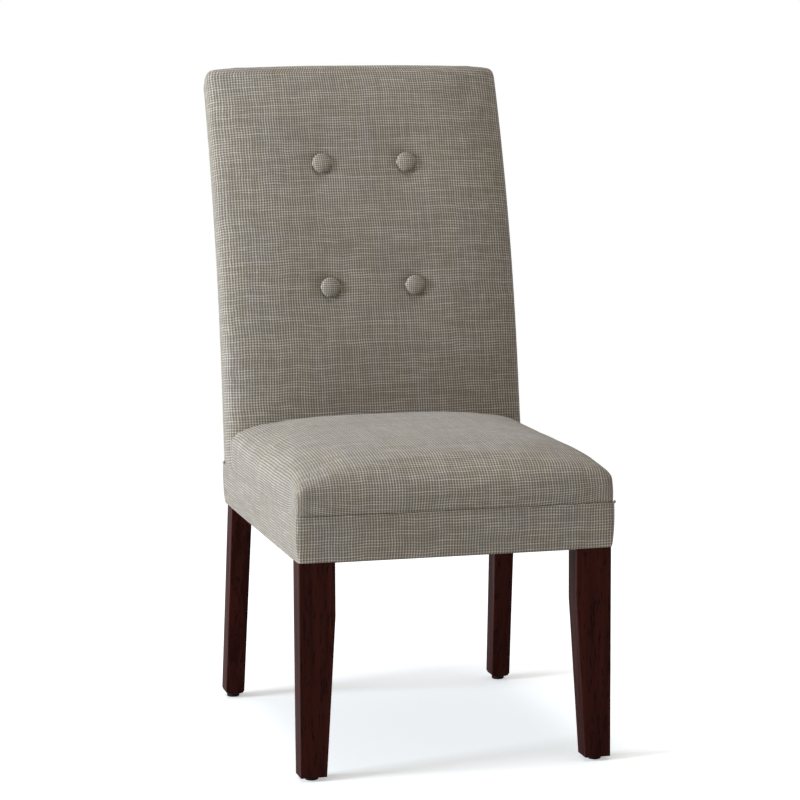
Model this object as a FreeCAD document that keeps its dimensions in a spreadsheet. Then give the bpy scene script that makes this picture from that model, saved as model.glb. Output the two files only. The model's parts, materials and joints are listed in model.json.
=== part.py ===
import FreeCAD, Part
import math
import os
import re
import Sketcher

# Upholstered parsons dining chair, in millimetres.
# X runs across the seat, -Y is the front, +Z is up.
# The origin lies on the floor, under the middle of the chair's outline.
# Left is the -X side, as seen by someone who looks at the chair's front.

doc = FreeCAD.newDocument("parsons_chair")

# Driving dimensions
SIZES = {
    # seat box, measured over its cloth band
    "front_setback": 343.5,      # origin to the band's front face
    "band_width": 480,
    "band_depth": 551,
    "band_bottom": 325,
    "seam_height": 392.4,        # seam between the band and the seat cover
    "band_bulge": 3.2,           # how far the band swells at its middle
    "band_stuffing": 1.1,
    "band_corner": 6,
    "band_turn_in": 18,          # cloth turned in under the rails
    # soft layers
    "cloth": 1.2,
    "clearance": 0.3,
    # legs
    "front_leg_width": 54,
    "front_leg_depth": 41,
    "front_foot_width": 39.5,
    "front_foot_depth": 37,
    "taper_drop": 80,            # straight part of a front leg below the band
    "post_width": 33,
    "post_depth": 38,
    "post_setback": 497.2,       # band's front face to the post's front face
    "rear_foot_width": 30,
    "rear_foot_rake": 48,        # how far the rear foot stands behind the post
    "rear_foot_splay": 4,
    "leg_edge_round": 1.6,
    "foot_round": 6,
    # glides
    "glide_height": 6.5,
    "glide_radius": 10.3,
    "nail_radius": 1.3,
    "nail_length": 16,
    # rails and their joints
    "rail_thickness": 22,
    "rear_rail_thickness": 13.5,
    "deck_drop": 3,              # seam down to the top of the rails
    "back_rail_height": 58,
    "back_rail_thickness": 22,
    "lower_rail_height": 452,    # middle of the lower back rail
    "dowel_radius": 5,
    "dowel_length": 40,
    "dowel_spacing": 32,
    "dowel_end_room": 1,
    "play": 0.1,                 # of a pin or screw in its hole
    # corner blocks and screws
    "block_height": 40,
    "block_reach": 62,
    "block_screw_seat": 20,      # from a rail to the screw head's seat in a block
    "screw_radius": 2.2,
    "screw_grip": 15,            # thread that bites into a rail or post
    "rear_screw_grip": 10,
    "screw_head_radius": 4.2,
    "screw_head_height": 2.8,
    # back
    "face_setback": 454.8,       # band's front face to the back's face at the seam
    "face_rake": 9,
    "face_bend_rise": 50,        # the face starts to bend above the posts' bend
    "face_radius": 1890,
    "frame_rake": 6.25,
    "frame_bend_height": 500,
    "frame_radius": 1750,        # rear face of the rear posts
    "post_top_height": 1005,     # rear top corner of a rear post
    "post_corner_round": 14,
    "back_edge_round": 20,
    "back_padding_thickness": 4,
    "outside_lining": 2,
    "outside_wadding": 3.3,
    # webbing
    "strap_width": 50,
    "strap_thickness": 1.2,
    "seat_strap_pitch_x": 98,
    "seat_strap_pitch_y": 92,
    "lining_thickness": 0.6,
    # seat
    "seat_crown_height": 475,
    "seat_crown_run": 230,       # front face to the level part of the crown
    "seat_side_swell": 1.5,
    "seat_corner_round": 7,
    "seat_wadding": 5,
    # dust cover
    "dust_cover_thickness": 0.8,
    "dust_cover_margin": 10,
    # buttons
    "button_spacing": 141,
    "upper_button_drop": 132,    # below the rear top corner of the posts
    "button_rise": 197,          # lower pair to upper pair
    "button_radius": 16,
    "button_dome": 9,
    "dimple_radius": 46,
    "dimple_depth": 8,
    "shank_radius": 2.4,
    "shank_length": 14,
    "twine_radius": 0.9,
    "tunnel_radius": 3,
    "anchor_radius": 9,
    "anchor_thickness": 2.4,
}

# Places and lengths that follow from the driving dimensions
PLACES = {
    "deg_per_rad": "180 / pi",
    "front_y": "-front_setback",
    "frame_gap": "cloth + band_stuffing",
    "frame_half_width": "band_width / 2 - frame_gap",
    "frame_front_y": "front_y + frame_gap",
    "rail_top": "seam_height - deck_drop",
    "rail_bottom": "band_bottom + cloth",
    "rail_height": "rail_top - rail_bottom",
    "rail_middle": "(rail_top + rail_bottom) / 2",
    "taper_start": "band_bottom - taper_drop",
    "leg_inner_x": "frame_half_width - front_leg_width",
    "leg_rear_y": "frame_front_y + front_leg_depth",
    "side_rail_inner_x": "frame_half_width - rail_thickness",
    "front_rail_rear_y": "frame_front_y + rail_thickness",
    "post_inner_x": "frame_half_width - post_width",
    "post_front_y": "front_y + post_setback",
    "post_rear_y": "post_front_y + post_depth",
    "rear_rail_rear_y": "post_rear_y + rear_rail_thickness",
    # curve of the rear posts: the rear face leans, then bends backwards round a centre behind it
    "frame_bend_y": "post_rear_y + (frame_bend_height - rail_top) * tan(frame_rake)",
    "frame_centre_y": "frame_bend_y + frame_radius * cos(frame_rake)",
    "frame_centre_z": "frame_bend_height - frame_radius * sin(frame_rake)",
    "frame_top_angle": "asin((post_top_height - frame_centre_z) / frame_radius) / 1deg",
    # curve of the upholstered face
    "face_bend_height": "frame_bend_height + face_bend_rise",
    "face_y": "front_y + face_setback",
    "face_bend_y": "face_y + (face_bend_height - seam_height) * tan(face_rake)",
    "face_centre_y": "face_bend_y + face_radius * cos(face_rake)",
    "face_centre_z": "face_bend_height - face_radius * sin(face_rake)",
    "centre_shift_y": "frame_centre_y - face_centre_y",
    "centre_shift_z": "frame_centre_z - face_centre_z",
    # along and across the top line of the posts, from the face curve's centre to the frame curve's
    "top_across": "centre_shift_z * sin(frame_top_angle) - centre_shift_y * cos(frame_top_angle)",
    "top_along": "centre_shift_y * sin(frame_top_angle) + centre_shift_z * cos(frame_top_angle)",
    "post_front_radius": "frame_radius + post_depth",
    "rear_build_up": "outside_lining + outside_wadding + cloth + 3 * clearance",
    "side_build_up": "cloth + back_padding_thickness + 2 * clearance",
    "top_build_up": "side_build_up + clearance",
    "back_half_width": "frame_half_width + side_build_up",
    "foam_rear_radius": "post_front_radius + 2 * strap_thickness + 3 * clearance",
    "front_rail_middle_y": "frame_front_y + rail_thickness / 2",
    "side_rail_middle_x": "frame_half_width - rail_thickness / 2",
    "seat_half_width": "band_width / 2 + seat_side_swell",
    # the cushion's crests and rounds keep their share of its height
    "cushion_height": "seat_crown_height - seam_height",
    "seat_side_height": "seam_height + 0.782 * cushion_height",
    "seat_side_round": "0.266 * cushion_height",
    "seat_front_height": "seam_height + 0.395 * cushion_height",
    "seat_front_round": "0.363 * cushion_height",
    "seat_layers": "cloth + seat_wadding + 2 * clearance",
    "lining_bottom": "rail_top + 2 * strap_thickness + clearance",
    "deck_height": "lining_bottom + lining_thickness + clearance",
    "side_centre_z": "seat_side_height - seat_side_round",
    "crown_radius": "((seat_half_width - seat_side_round)^2 + (seat_crown_height - side_centre_z)^2"
                    " - seat_side_round^2) / (2 * (seat_crown_height - seat_side_height))",
    "crown_centre_z": "seat_crown_height - crown_radius",
    "front_crown_radius": "((seat_crown_run - seat_front_round)^2"
                          " + (seat_crown_height - seat_front_height)^2 - seat_front_round^2)"
                          " / (2 * (seat_crown_height - seat_front_height - seat_front_round))",
    "front_centre_z": "seat_crown_height - front_crown_radius",
    "front_glide_x": "frame_half_width - front_foot_width / 2",
    "front_glide_y": "frame_front_y + front_foot_depth / 2",
    "rear_glide_x": "frame_half_width + rear_foot_splay - rear_foot_width / 2",
    "rear_glide_y": "post_front_y + rear_foot_rake + post_depth / 2",
    "upper_button_height": "post_top_height - upper_button_drop",
    "lower_button_height": "upper_button_height - button_rise",
    "lumbar_strap_height": "(lower_rail_height + lower_button_height) / 2",
    "upper_button_angle": "asin((upper_button_height - face_centre_z) / face_radius) / 1deg",
    "lower_button_angle": "asin((lower_button_height - face_centre_z) / face_radius) / 1deg",
    "button_depth": "dimple_depth - dimple_radius + sqrt(dimple_radius^2 - button_radius^2) - clearance",
    "button_dome_radius": "(button_radius^2 + (button_dome - 1.5)^2) / (2 * (button_dome - 1.5))",
}

sizes = doc.addObject("Spreadsheet::Sheet", "Sizes")
for row, (alias, value) in enumerate(SIZES.items(), start=1):
    sizes.set(f"A{row}", alias)
    sizes.set(f"B{row}", str(value))
    sizes.setAlias(f"B{row}", alias)
places = doc.addObject("Spreadsheet::Sheet", "Places")


def bound(formula):
    """Name the sheet of every dimension that a formula mentions."""
    def sheet_of(match):
        word = match.group(0)
        if word in SIZES:
            return "Sizes." + word
        if word in PLACES:
            return "Places." + word
        return word
    return re.sub(r"[A-Za-z_]\w*", sheet_of, f"{formula}")


for row, (alias, formula) in enumerate(PLACES.items(), start=1):
    places.set(f"A{row}", alias)
    places.set(f"B{row}", "=" + bound(formula).replace("Places.", ""))
    places.setAlias(f"B{row}", alias)
doc.recompute()


def number(formula):
    """Value of a formula now, as a plain number."""
    value = places.evalExpression(bound(formula))
    return float(getattr(value, "Value", value))


# Drawing helpers
def plane_of(body, role):
    return next(feature for feature in body.Origin.OriginFeatures if feature.Role == role)


def new_body(name):
    body = doc.addObject("PartDesign::Body", name)
    body.Label = name
    return body


def new_sketch(body, role, offset, name):
    """Sketch on a plane of the body's origin, moved along the plane's normal by a formula."""
    sketch = body.newObject("Sketcher::SketchObject", name)
    sketch.AttachmentSupport = [(plane_of(body, role), "")]
    sketch.MapMode = "FlatFace"
    sketch.setExpression("AttachmentOffset.Base.z", bound(offset))
    return sketch


def constrain(sketch, formula, *reference):
    """Add a dimension to a sketch and bind it to a formula."""
    kind = reference[0]
    index = sketch.addConstraint(Sketcher.Constraint(kind, *reference[1:], number(formula)))
    sketch.setExpression(f"Constraints[{index}]", bound(formula))


def place_vertex(sketch, edge, end, u, v):
    constrain(sketch, u, "DistanceX", -1, 1, edge, end)
    constrain(sketch, v, "DistanceY", -1, 1, edge, end)


def arc_between(start, end, radius, turn):
    """Arc from start to end: turn 1 is anticlockwise, -1 is clockwise."""
    chord = end - start
    middle = (start + end) * 0.5
    rise = math.sqrt(max(radius ** 2 - (chord.Length / 2) ** 2, 0))
    side = FreeCAD.Vector(-chord.y, chord.x, 0).normalize()
    centre = middle + side * rise * turn
    first, last = (start, end) if turn > 0 else (end, start)
    angles = [math.atan2(point.y - centre.y, point.x - centre.x) for point in (first, last)]
    if angles[1] < angles[0]:
        angles[1] += 2 * math.pi
    circle = Part.Circle(centre, FreeCAD.Vector(0, 0, 1), radius)
    return Part.ArcOfCircle(circle, *angles)


def draw_outline(sketch, corners):
    """Closed outline through corners (u, v), in formulas.

    A corner (u, v, radius, turn) is reached from the corner before it by an arc.
    """
    points = [FreeCAD.Vector(number(corner[0]), number(corner[1]), 0) for corner in corners]
    ends = []
    for index, corner in enumerate(corners):
        start, end = points[index - 1], points[index]
        if len(corner) == 2:
            edge = sketch.addGeometry(Part.LineSegment(start, end))
            ends.append((edge, 1, 2))
            continue
        radius, turn = corner[2:]
        edge = sketch.addGeometry(arc_between(start, end, number(radius), turn))
        ends.append((edge, 1, 2) if turn > 0 else (edge, 2, 1))
        constrain(sketch, radius, "Radius", edge)
    for index, (edge, start, end) in enumerate(ends):
        after = ends[(index + 1) % len(ends)]
        sketch.addConstraint(Sketcher.Constraint("Coincident", edge, end, after[0], after[1]))
        place_vertex(sketch, edge, end, *corners[index][:2])


def draw_rectangle(sketch, low_u, high_u, low_v, high_v):
    draw_outline(sketch, [(low_u, low_v), (high_u, low_v), (high_u, high_v), (low_u, high_v)])


def draw_rounded_rectangle(sketch, low_u, high_u, low_v, high_v, radius):
    lows = f"({low_u}) + ({radius})", f"({low_v}) + ({radius})"
    highs = f"({high_u}) - ({radius})", f"({high_v}) - ({radius})"
    draw_outline(sketch, [
        (highs[0], low_v),
        (high_u, lows[1], radius, 1),
        (high_u, highs[1]),
        (highs[0], high_v, radius, 1),
        (lows[0], high_v),
        (low_u, highs[1], radius, 1),
        (low_u, lows[1]),
        (lows[0], low_v, radius, 1),
    ])


def draw_circles(sketch, centres, radius):
    for u, v in centres:
        centre = FreeCAD.Vector(number(u), number(v), 0)
        circle = Part.Circle(centre, FreeCAD.Vector(0, 0, 1), number(radius))
        edge = sketch.addGeometry(circle)
        constrain(sketch, radius, "Radius", edge)
        place_vertex(sketch, edge, 3, u, v)


def pad(body, sketch, length, name, midplane=False):
    feature = body.newObject("PartDesign::Pad", name)
    feature.Profile = sketch
    feature.setExpression("Length", bound(length))
    feature.Midplane = midplane
    sketch.Visibility = False
    return feature


def pocket(body, sketch, depth, name, reverse=False, midplane=False):
    """Cut against the sketch's normal, or along it when reversed."""
    doc.recompute()
    before = body.Shape.Volume
    feature = body.newObject("PartDesign::Pocket", name)
    feature.Profile = sketch
    feature.setExpression("Length", bound(depth))
    feature.Reversed = reverse
    feature.Midplane = midplane
    doc.recompute()
    if body.Shape.Volume >= before:
        raise RuntimeError(f"{body.Label}: {name} cuts nothing")
    return feature


def loft(body, first, others, name, ruled=True):
    feature = body.newObject("PartDesign::AdditiveLoft", name)
    feature.Profile = first
    feature.Sections = others
    feature.Ruled = ruled
    return feature


def round_edges(body, base, radius, name, wanted):
    """Fillet the edges of a feature for which wanted(edge) holds."""
    doc.recompute()
    edges = base.Shape.Edges
    names = [f"Edge{index}" for index, edge in enumerate(edges, start=1) if wanted(edge)]
    feature = body.newObject("PartDesign::Fillet", name)
    feature.Base = (base, names)
    feature.setExpression("Radius", bound(radius))
    return feature


def middle_of(edge):
    return edge.valueAt((edge.FirstParameter + edge.LastParameter) / 2)


def direction_of(edge):
    ends = [edge.valueAt(edge.FirstParameter), edge.valueAt(edge.LastParameter)]
    chord = ends[1] - ends[0]
    return chord.normalize() if chord.Length > 1e-6 else chord


NODES = []


def keep(part):
    """Mark a finished piece for export under its label."""
    NODES.append(part)
    return part


SIDES = {"left": -1, "right": 1}


def drill(body, role, offset, centres, radius, depth, name, along):
    """Blind round holes from a plane, along its normal or against it."""
    sketch = new_sketch(body, role, offset, f"{name}_sketch")
    draw_circles(sketch, centres, radius)
    pocket(body, sketch, depth, name, reverse=along)


def dowel_pair(across):
    return [(across, f"rail_middle + {turn} * dowel_spacing / 2") for turn in (-1, 1)]


SOCKET = ("dowel_radius + play", "dowel_length / 2 + dowel_end_room")


def nail_hole(body, x, y, name):
    drill(body, "XY_Plane", "glide_height", [(x, y)], "nail_radius + play", "nail_length + play", name, True)


# Front legs: straight inside the seat box, tapered on their inner faces below it
def front_leg(side, sign):
    body = new_body(f"front_leg_{side}")

    def section(height, width, depth, name):
        sketch = new_sketch(body, "XY_Plane", height, f"{name}_{side}")
        inner = f"{sign} * (frame_half_width - {width})"
        ends = sorted([f"{sign} * frame_half_width", inner], key=number)
        draw_rounded_rectangle(sketch, *ends, "frame_front_y", f"frame_front_y + {depth}", "leg_edge_round")
        return sketch

    straight = section("taper_start", "front_leg_width", "front_leg_depth", "straight_section")
    pad(body, straight, "rail_top - taper_start", f"straight_part_{side}")
    knee = section("taper_start", "front_leg_width", "front_leg_depth", "knee_section")
    foot = section("glide_height", "front_foot_width", "front_foot_depth", "foot_section")
    loft(body, knee, [foot], f"taper_{side}")
    drill(body, "YZ_Plane", f"{sign} * leg_inner_x", dowel_pair("front_rail_middle_y"), *SOCKET,
          f"front_rail_sockets_{side}", sign > 0)
    drill(body, "XZ_Plane", "-leg_rear_y", dowel_pair(f"{sign} * side_rail_middle_x"), *SOCKET,
          f"side_rail_sockets_{side}", True)
    nail_hole(body, f"{sign} * front_glide_x", "front_glide_y", f"nail_hole_front_{side}")
    keep(body)


# Curves of the back
def on_frame(radius, angle):
    """Point (y, z) at an angle on a circle round the frame curve's centre."""
    return f"frame_centre_y - ({radius}) * cos({angle})", f"frame_centre_z + ({radius}) * sin({angle})"


def on_face(radius, angle):
    return f"face_centre_y - ({radius}) * cos({angle})", f"face_centre_z + ({radius}) * sin({angle})"


def frame_line(offset, height):
    """Point at a height on the straight lower stretch, an offset in front of the posts' rear face."""
    y = f"post_rear_y - ({offset}) / cos(frame_rake) + (({height}) - rail_top) * tan(frame_rake)"
    return y, height


def face_line(inset, height):
    y = f"face_y + ({inset}) / cos(face_rake) + (({height}) - seam_height) * tan(face_rake)"
    return y, height


def top_point(across, rise):
    """Point on the line square across the posts' tops, a rise above them."""
    y = f"frame_centre_y - ({across}) * cos(frame_top_angle) + ({rise}) * sin(frame_top_angle)"
    z = f"frame_centre_z + ({across}) * sin(frame_top_angle) + ({rise}) * cos(frame_top_angle)"
    return y, z


def top_on_frame(radius, rise):
    return top_point(f"sqrt(({radius})^2 - ({rise})^2)", rise)


def top_on_face(radius, rise):
    return top_point(f"sqrt(({radius})^2 - (({rise}) + top_along)^2) - top_across", rise)


# Rear posts: raked legs that run up through the seat box and bend back with the chair's back
def rear_post(side, sign):
    body = new_body(f"rear_post_{side}")
    near, far = sorted(["post_inner_x", "frame_half_width"], key=lambda x: number(f"{sign} * {x}"))
    kink = "rail_top + post_depth * tan(frame_rake / 2)"
    outline = new_sketch(body, "YZ_Plane", f"{sign} * {near}", f"post_outline_{side}")
    draw_outline(outline, [
        ("post_front_y", "band_bottom"),
        ("post_rear_y", "band_bottom"),
        ("post_rear_y", "rail_top"),
        on_frame("frame_radius", "frame_rake"),
        (*on_frame("frame_radius", "frame_top_angle"), "frame_radius", -1),
        on_frame("post_front_radius", "frame_top_angle"),
        (*on_frame("post_front_radius", "frame_rake"), "post_front_radius", 1),
        ("post_front_y", kink),
    ])
    post = pad(body, outline, "post_width", f"post_{side}")
    top = number("post_top_height") - number("post_corner_round")
    outer = number("frame_half_width") - 1
    round_edges(body, post, "post_corner_round", f"top_corner_{side}",
                lambda edge: abs(direction_of(edge).x) < 0.1 and abs(direction_of(edge).y) > 0.5
                and middle_of(edge).z > top and abs(middle_of(edge).x) > outer)

    def section(height, inset, name):
        """Leg section at a height; the foot's splay, rake and width come in evenly on the way down."""
        sketch = new_sketch(body, "XY_Plane", height, f"{name}_{side}")
        down = f"(band_bottom - ({height})) / (band_bottom - glide_height)"
        outer = f"frame_half_width + rear_foot_splay * {down} - {inset}"
        width = f"post_width - (post_width - rear_foot_width) * {down} - 2 * {inset}"
        sides = [f"{sign} * ({outer})", f"{sign} * ({outer} - ({width}))"]
        front = f"post_front_y + rear_foot_rake * {down} + {inset}"
        rear = f"post_rear_y + rear_foot_rake * {down} - {inset}"
        draw_rounded_rectangle(sketch, *sorted(sides, key=number), front, rear, "leg_edge_round")
        return sketch

    knee = section("band_bottom", "0", "knee_section")
    foot = [
        section("glide_height + foot_round", "0", "ankle_section"),
        section("glide_height + 0.3 * foot_round", "0.3 * foot_round", "foot_section"),
        section("glide_height", "0.8 * foot_round", "sole_section"),
    ]
    loft(body, knee, foot, f"leg_{side}")
    drill(body, "XZ_Plane", "-post_front_y", dowel_pair(f"{sign} * side_rail_middle_x"), *SOCKET,
          f"side_rail_sockets_{side}", False)
    drill(body, "XZ_Plane", "-post_rear_y", rear_rail_screws(sign), "screw_radius + play",
          "screw_grip + play", f"rear_rail_pilots_{side}", True)
    for rail, spots in BACK_RAIL_DOWELS.items():
        drill(body, "YZ_Plane", f"{sign} * post_inner_x", spots, *SOCKET, f"{rail}_sockets_{side}", sign > 0)
    nail_hole(body, f"{sign} * rear_glide_x", "rear_glide_y", f"nail_hole_rear_{side}")
    keep(body)


def rear_rail_screws(sign):
    x = f"{sign} * (post_inner_x + 2 * screw_head_radius)"
    return dowel_pair(x)


# Back rails lie flush with the fronts of the posts; each has a middle (y, z), an angle and its dowels
def in_rail(middle, angle, along, behind):
    """Point an amount up along a back rail and behind its front face."""
    y = f"{middle[0]} + ({along}) * sin({angle}) + ({behind}) * cos({angle})"
    z = f"{middle[1]} + ({along}) * cos({angle}) - ({behind}) * sin({angle})"
    return y, z


TOP_RAIL_ANGLE = "(frame_top_angle - deg_per_rad * (back_rail_height / 2 + 1) / post_front_radius)"
BACK_RAILS = {
    "back_top_rail": (on_frame("post_front_radius", TOP_RAIL_ANGLE), TOP_RAIL_ANGLE),
    "back_lower_rail": (frame_line("post_depth", "lower_rail_height"), "frame_rake"),
}
BACK_RAIL_DOWELS = {
    name: [in_rail(middle, angle, f"{turn} * dowel_spacing / 2", "back_rail_thickness / 2")
           for turn in (-1, 1)]
    for name, (middle, angle) in BACK_RAILS.items()
}


def back_rail(name):
    middle, angle = BACK_RAILS[name]
    body = new_body(name)
    outline = new_sketch(body, "YZ_Plane", "0", f"{name}_outline")
    corners = [(-1, 0), (1, 0), (1, 1), (-1, 1)]
    draw_outline(outline, [
        in_rail(middle, angle, f"{up} * back_rail_height / 2", f"clearance + {back} * back_rail_thickness")
        for up, back in corners
    ])
    pad(body, outline, "2 * post_inner_x", f"{name}_board", midplane=True)
    for side, sign in SIDES.items():
        drill(body, "YZ_Plane", f"{sign} * post_inner_x", BACK_RAIL_DOWELS[name], *SOCKET,
              f"{name}_sockets_{side}", sign < 0)
    keep(body)


# Seat rails
def board(name, low_x, high_x, low_y, high_y, low_z, height):
    """Body with one flat board, ready to be drilled."""
    body = new_body(name)
    sketch = new_sketch(body, "XY_Plane", low_z, f"{name}_plan")
    draw_rectangle(sketch, low_x, high_x, low_y, high_y)
    pad(body, sketch, height, f"{name}_board")
    return body


PILOT = ("screw_radius + play", "screw_grip + play")
FRONT_BLOCK_X = "(leg_inner_x - 0.4 * block_reach)"
FRONT_BLOCK_Y = "(leg_rear_y + 0.4 * block_reach)"
REAR_BLOCK_X = "(post_inner_x - 0.4 * block_reach)"
REAR_BLOCK_Y = "(post_front_y - 0.4 * block_reach)"


def front_seat_rail():
    body = board("front_seat_rail", "-leg_inner_x", "leg_inner_x", "frame_front_y", "front_rail_rear_y",
                 "rail_bottom", "rail_height")
    for side, sign in SIDES.items():
        drill(body, "YZ_Plane", f"{sign} * leg_inner_x", dowel_pair("front_rail_middle_y"), *SOCKET,
              f"front_rail_ends_{side}", sign < 0)
        drill(body, "XZ_Plane", "-front_rail_rear_y", [(f"{sign} * {FRONT_BLOCK_X}", "rail_middle")],
              *PILOT, f"front_rail_pilot_{side}", True)
    keep(body)


def side_seat_rail(side, sign):
    edges = sorted([f"{sign} * side_rail_inner_x", f"{sign} * frame_half_width"], key=number)
    body = board(f"{side}_seat_rail", *edges, "leg_rear_y", "post_front_y", "rail_bottom", "rail_height")
    ends = dowel_pair(f"{sign} * side_rail_middle_x")
    drill(body, "XZ_Plane", "-leg_rear_y", ends, *SOCKET, f"side_rail_front_end_{side}", False)
    drill(body, "XZ_Plane", "-post_front_y", ends, *SOCKET, f"side_rail_rear_end_{side}", True)
    drill(body, "YZ_Plane", f"{sign} * side_rail_inner_x",
          [(FRONT_BLOCK_Y, "rail_middle"), (REAR_BLOCK_Y, "rail_middle")],
          *PILOT, f"side_rail_pilots_{side}", sign > 0)
    keep(body)


def rear_seat_rail():
    """Board lapped over the rear faces of both posts and screwed to them."""
    body = board("rear_seat_rail", "-frame_half_width", "frame_half_width", "post_rear_y",
                 "rear_rail_rear_y", "rail_bottom", "rail_height")
    screws = rear_rail_screws(-1) + rear_rail_screws(1)
    drill(body, "XZ_Plane", "-rear_rail_rear_y", screws, "screw_radius + play", "rear_rail_thickness",
          "rear_rail_holes", True)
    drill(body, "XZ_Plane", "-rear_rail_rear_y", screws, "screw_head_radius + play",
          "screw_head_height + play", "rear_rail_head_seats", True)
    drill(body, "XZ_Plane", "-post_rear_y", [(f"{sign} * {REAR_BLOCK_X}", "rail_middle") for sign in (-1, 1)],
          PILOT[0], "rear_screw_grip + play", "rear_rail_pilots", False)
    keep(body)


# Corner blocks, notched round the legs and posts
def corner_block(end, side, sign, corners, along_y, along_x):
    """along_y and along_x: x or y of a screw, y or x of the rail's face, and which way the screw points."""
    name = f"{end}_{side}_corner_block"
    body = new_body(name)
    plan = new_sketch(body, "XY_Plane", "rail_middle - block_height / 2", f"{name}_plan")
    placed = [(f"{sign} * {x}", y) for x, y in corners]
    draw_outline(plan, placed[::-1] if sign < 0 else placed)
    pad(body, plan, "block_height", f"{name}_board")
    x, face, way = along_y
    spot = [(f"{sign} * {x}", "rail_middle")]
    seat = f"{face} - {way} * block_screw_seat"
    drill(body, "XZ_Plane", f"-({face})", spot, "screw_radius + play", "block_screw_seat + clearance",
          f"{name}_hole_y", way > 0)
    drill(body, "XZ_Plane", f"-({seat})", spot, "screw_head_radius + play", "block_reach",
          f"{name}_seat_y", way > 0)
    y, face = along_x
    spot = [(y, "rail_middle")]
    seat = f"{face} - block_screw_seat"
    drill(body, "YZ_Plane", f"{sign} * {face}", spot, "screw_radius + play", "block_screw_seat + clearance",
          f"{name}_hole_x", sign < 0)
    drill(body, "YZ_Plane", f"{sign} * ({seat})", spot, "screw_head_radius + play", "block_reach",
          f"{name}_seat_x", sign < 0)
    keep(body)


FRONT_BLOCK = [
    ("leg_inner_x - block_reach", "front_rail_rear_y"),
    ("leg_inner_x", "front_rail_rear_y"),
    ("leg_inner_x", "leg_rear_y"),
    ("side_rail_inner_x", "leg_rear_y"),
    ("side_rail_inner_x", "leg_rear_y + block_reach"),
]
REAR_BLOCK = [
    ("side_rail_inner_x", "post_front_y - block_reach"),
    ("side_rail_inner_x", "post_front_y"),
    ("post_inner_x", "post_front_y"),
    ("post_inner_x", "post_rear_y"),
    ("post_inner_x - block_reach", "post_rear_y"),
]
FRONT_BLOCK = [(f"({x})", f"({y})") for x, y in FRONT_BLOCK]
REAR_BLOCK = [(f"({x})", f"({y})") for x, y in REAR_BLOCK]


# Pins, screws and other turned pieces that lie along an axis
TURNS = {
    "+X": (FreeCAD.Vector(0, 1, 0), 90),
    "-X": (FreeCAD.Vector(0, 1, 0), -90),
    "+Y": (FreeCAD.Vector(1, 0, 0), -90),
    "-Y": (FreeCAD.Vector(1, 0, 0), 90),
    "+Z": (FreeCAD.Vector(1, 0, 0), 0),
}


def put(feature, x, y, z):
    for axis, formula in zip("xyz", (x, y, z)):
        feature.setExpression(f"Placement.Base.{axis}", bound(formula))


def cylinder(name, radius, height, x, y, z, way):
    rod = doc.addObject("Part::Cylinder", name)
    rod.setExpression("Radius", bound(radius))
    rod.setExpression("Height", bound(height))
    rod.Placement = FreeCAD.Placement(FreeCAD.Vector(), FreeCAD.Rotation(*TURNS[way]))
    put(rod, x, y, z)
    return rod


def ahead(way, x, y, z, distance):
    """Point a distance further along an axis."""
    sign = way[0]
    point = dict(zip("XYZ", (x, y, z)))
    point[way[1]] = f"{point[way[1]]} {sign} ({distance})"
    return tuple(point.values())


def group(name, pieces):
    compound = doc.addObject("Part::Compound", name)
    compound.Label = name
    compound.Links = pieces
    return keep(compound)


def screw(name, tip, way, length):
    """Round-headed screw: tip is the point (x, y, z), and the head lies a length away along the axis."""
    shank = cylinder(f"{name}_shank", "screw_radius", length, *tip, way)
    head = cylinder(f"{name}_head", "screw_head_radius", "screw_head_height",
                    *ahead(way, *tip, length), way)
    whole = doc.addObject("Part::Fuse", name)
    whole.Base = shank
    whole.Tool = head
    return whole


def corner_screws():
    screws = []
    for side, sign in SIDES.items():
        inward = "-X" if sign > 0 else "+X"
        tip_x = f"{sign} * (side_rail_inner_x + screw_grip)"
        grip = "screw_grip + block_screw_seat"
        screws.append(screw(f"front_block_screw_y_{side}",
                            (f"{sign} * {FRONT_BLOCK_X}", "front_rail_rear_y - screw_grip", "rail_middle"),
                            "+Y", grip))
        screws.append(screw(f"rear_block_screw_y_{side}",
                            (f"{sign} * {REAR_BLOCK_X}", "post_rear_y + rear_screw_grip", "rail_middle"),
                            "-Y", "rear_screw_grip + block_screw_seat"))
        for end, y in (("front", FRONT_BLOCK_Y), ("rear", REAR_BLOCK_Y)):
            screws.append(screw(f"{end}_block_screw_x_{side}", (tip_x, y, "rail_middle"), inward, grip))
    group("corner_block_screws", screws)


def rear_rail_fixings():
    screws = []
    for side, sign in SIDES.items():
        for level, (x, z) in enumerate(rear_rail_screws(sign)):
            tip = (x, "post_rear_y - screw_grip", z)
            length = "screw_grip + rear_rail_thickness - screw_head_height"
            screws.append(screw(f"rear_rail_screw_{side}_{level}", tip, "+Y", length))
    group("rear_rail_screws", screws)


def dowels():
    seat, back = [], []
    for side, sign in SIDES.items():
        way = "+X" if sign > 0 else "-X"
        start = f"{sign} * (leg_inner_x - dowel_length / 2)"
        for level, (y, z) in enumerate(dowel_pair("front_rail_middle_y")):
            seat.append(cylinder(f"front_dowel_{side}_{level}", "dowel_radius", "dowel_length", start, y, z, way))
        for joint in ("leg_rear_y", "post_front_y"):
            for level, (x, z) in enumerate(dowel_pair(f"{sign} * side_rail_middle_x")):
                seat.append(cylinder(f"side_dowel_{side}_{joint}_{level}", "dowel_radius", "dowel_length",
                                     x, f"{joint} - dowel_length / 2", z, "+Y"))
        start = f"{sign} * (post_inner_x - dowel_length / 2)"
        for rail, spots in BACK_RAIL_DOWELS.items():
            for level, (y, z) in enumerate(spots):
                back.append(cylinder(f"{rail}_dowel_{side}_{level}", "dowel_radius", "dowel_length",
                                     start, y, z, way))
    group("seat_rail_dowels", seat)
    group("back_rail_dowels", back)


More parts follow.
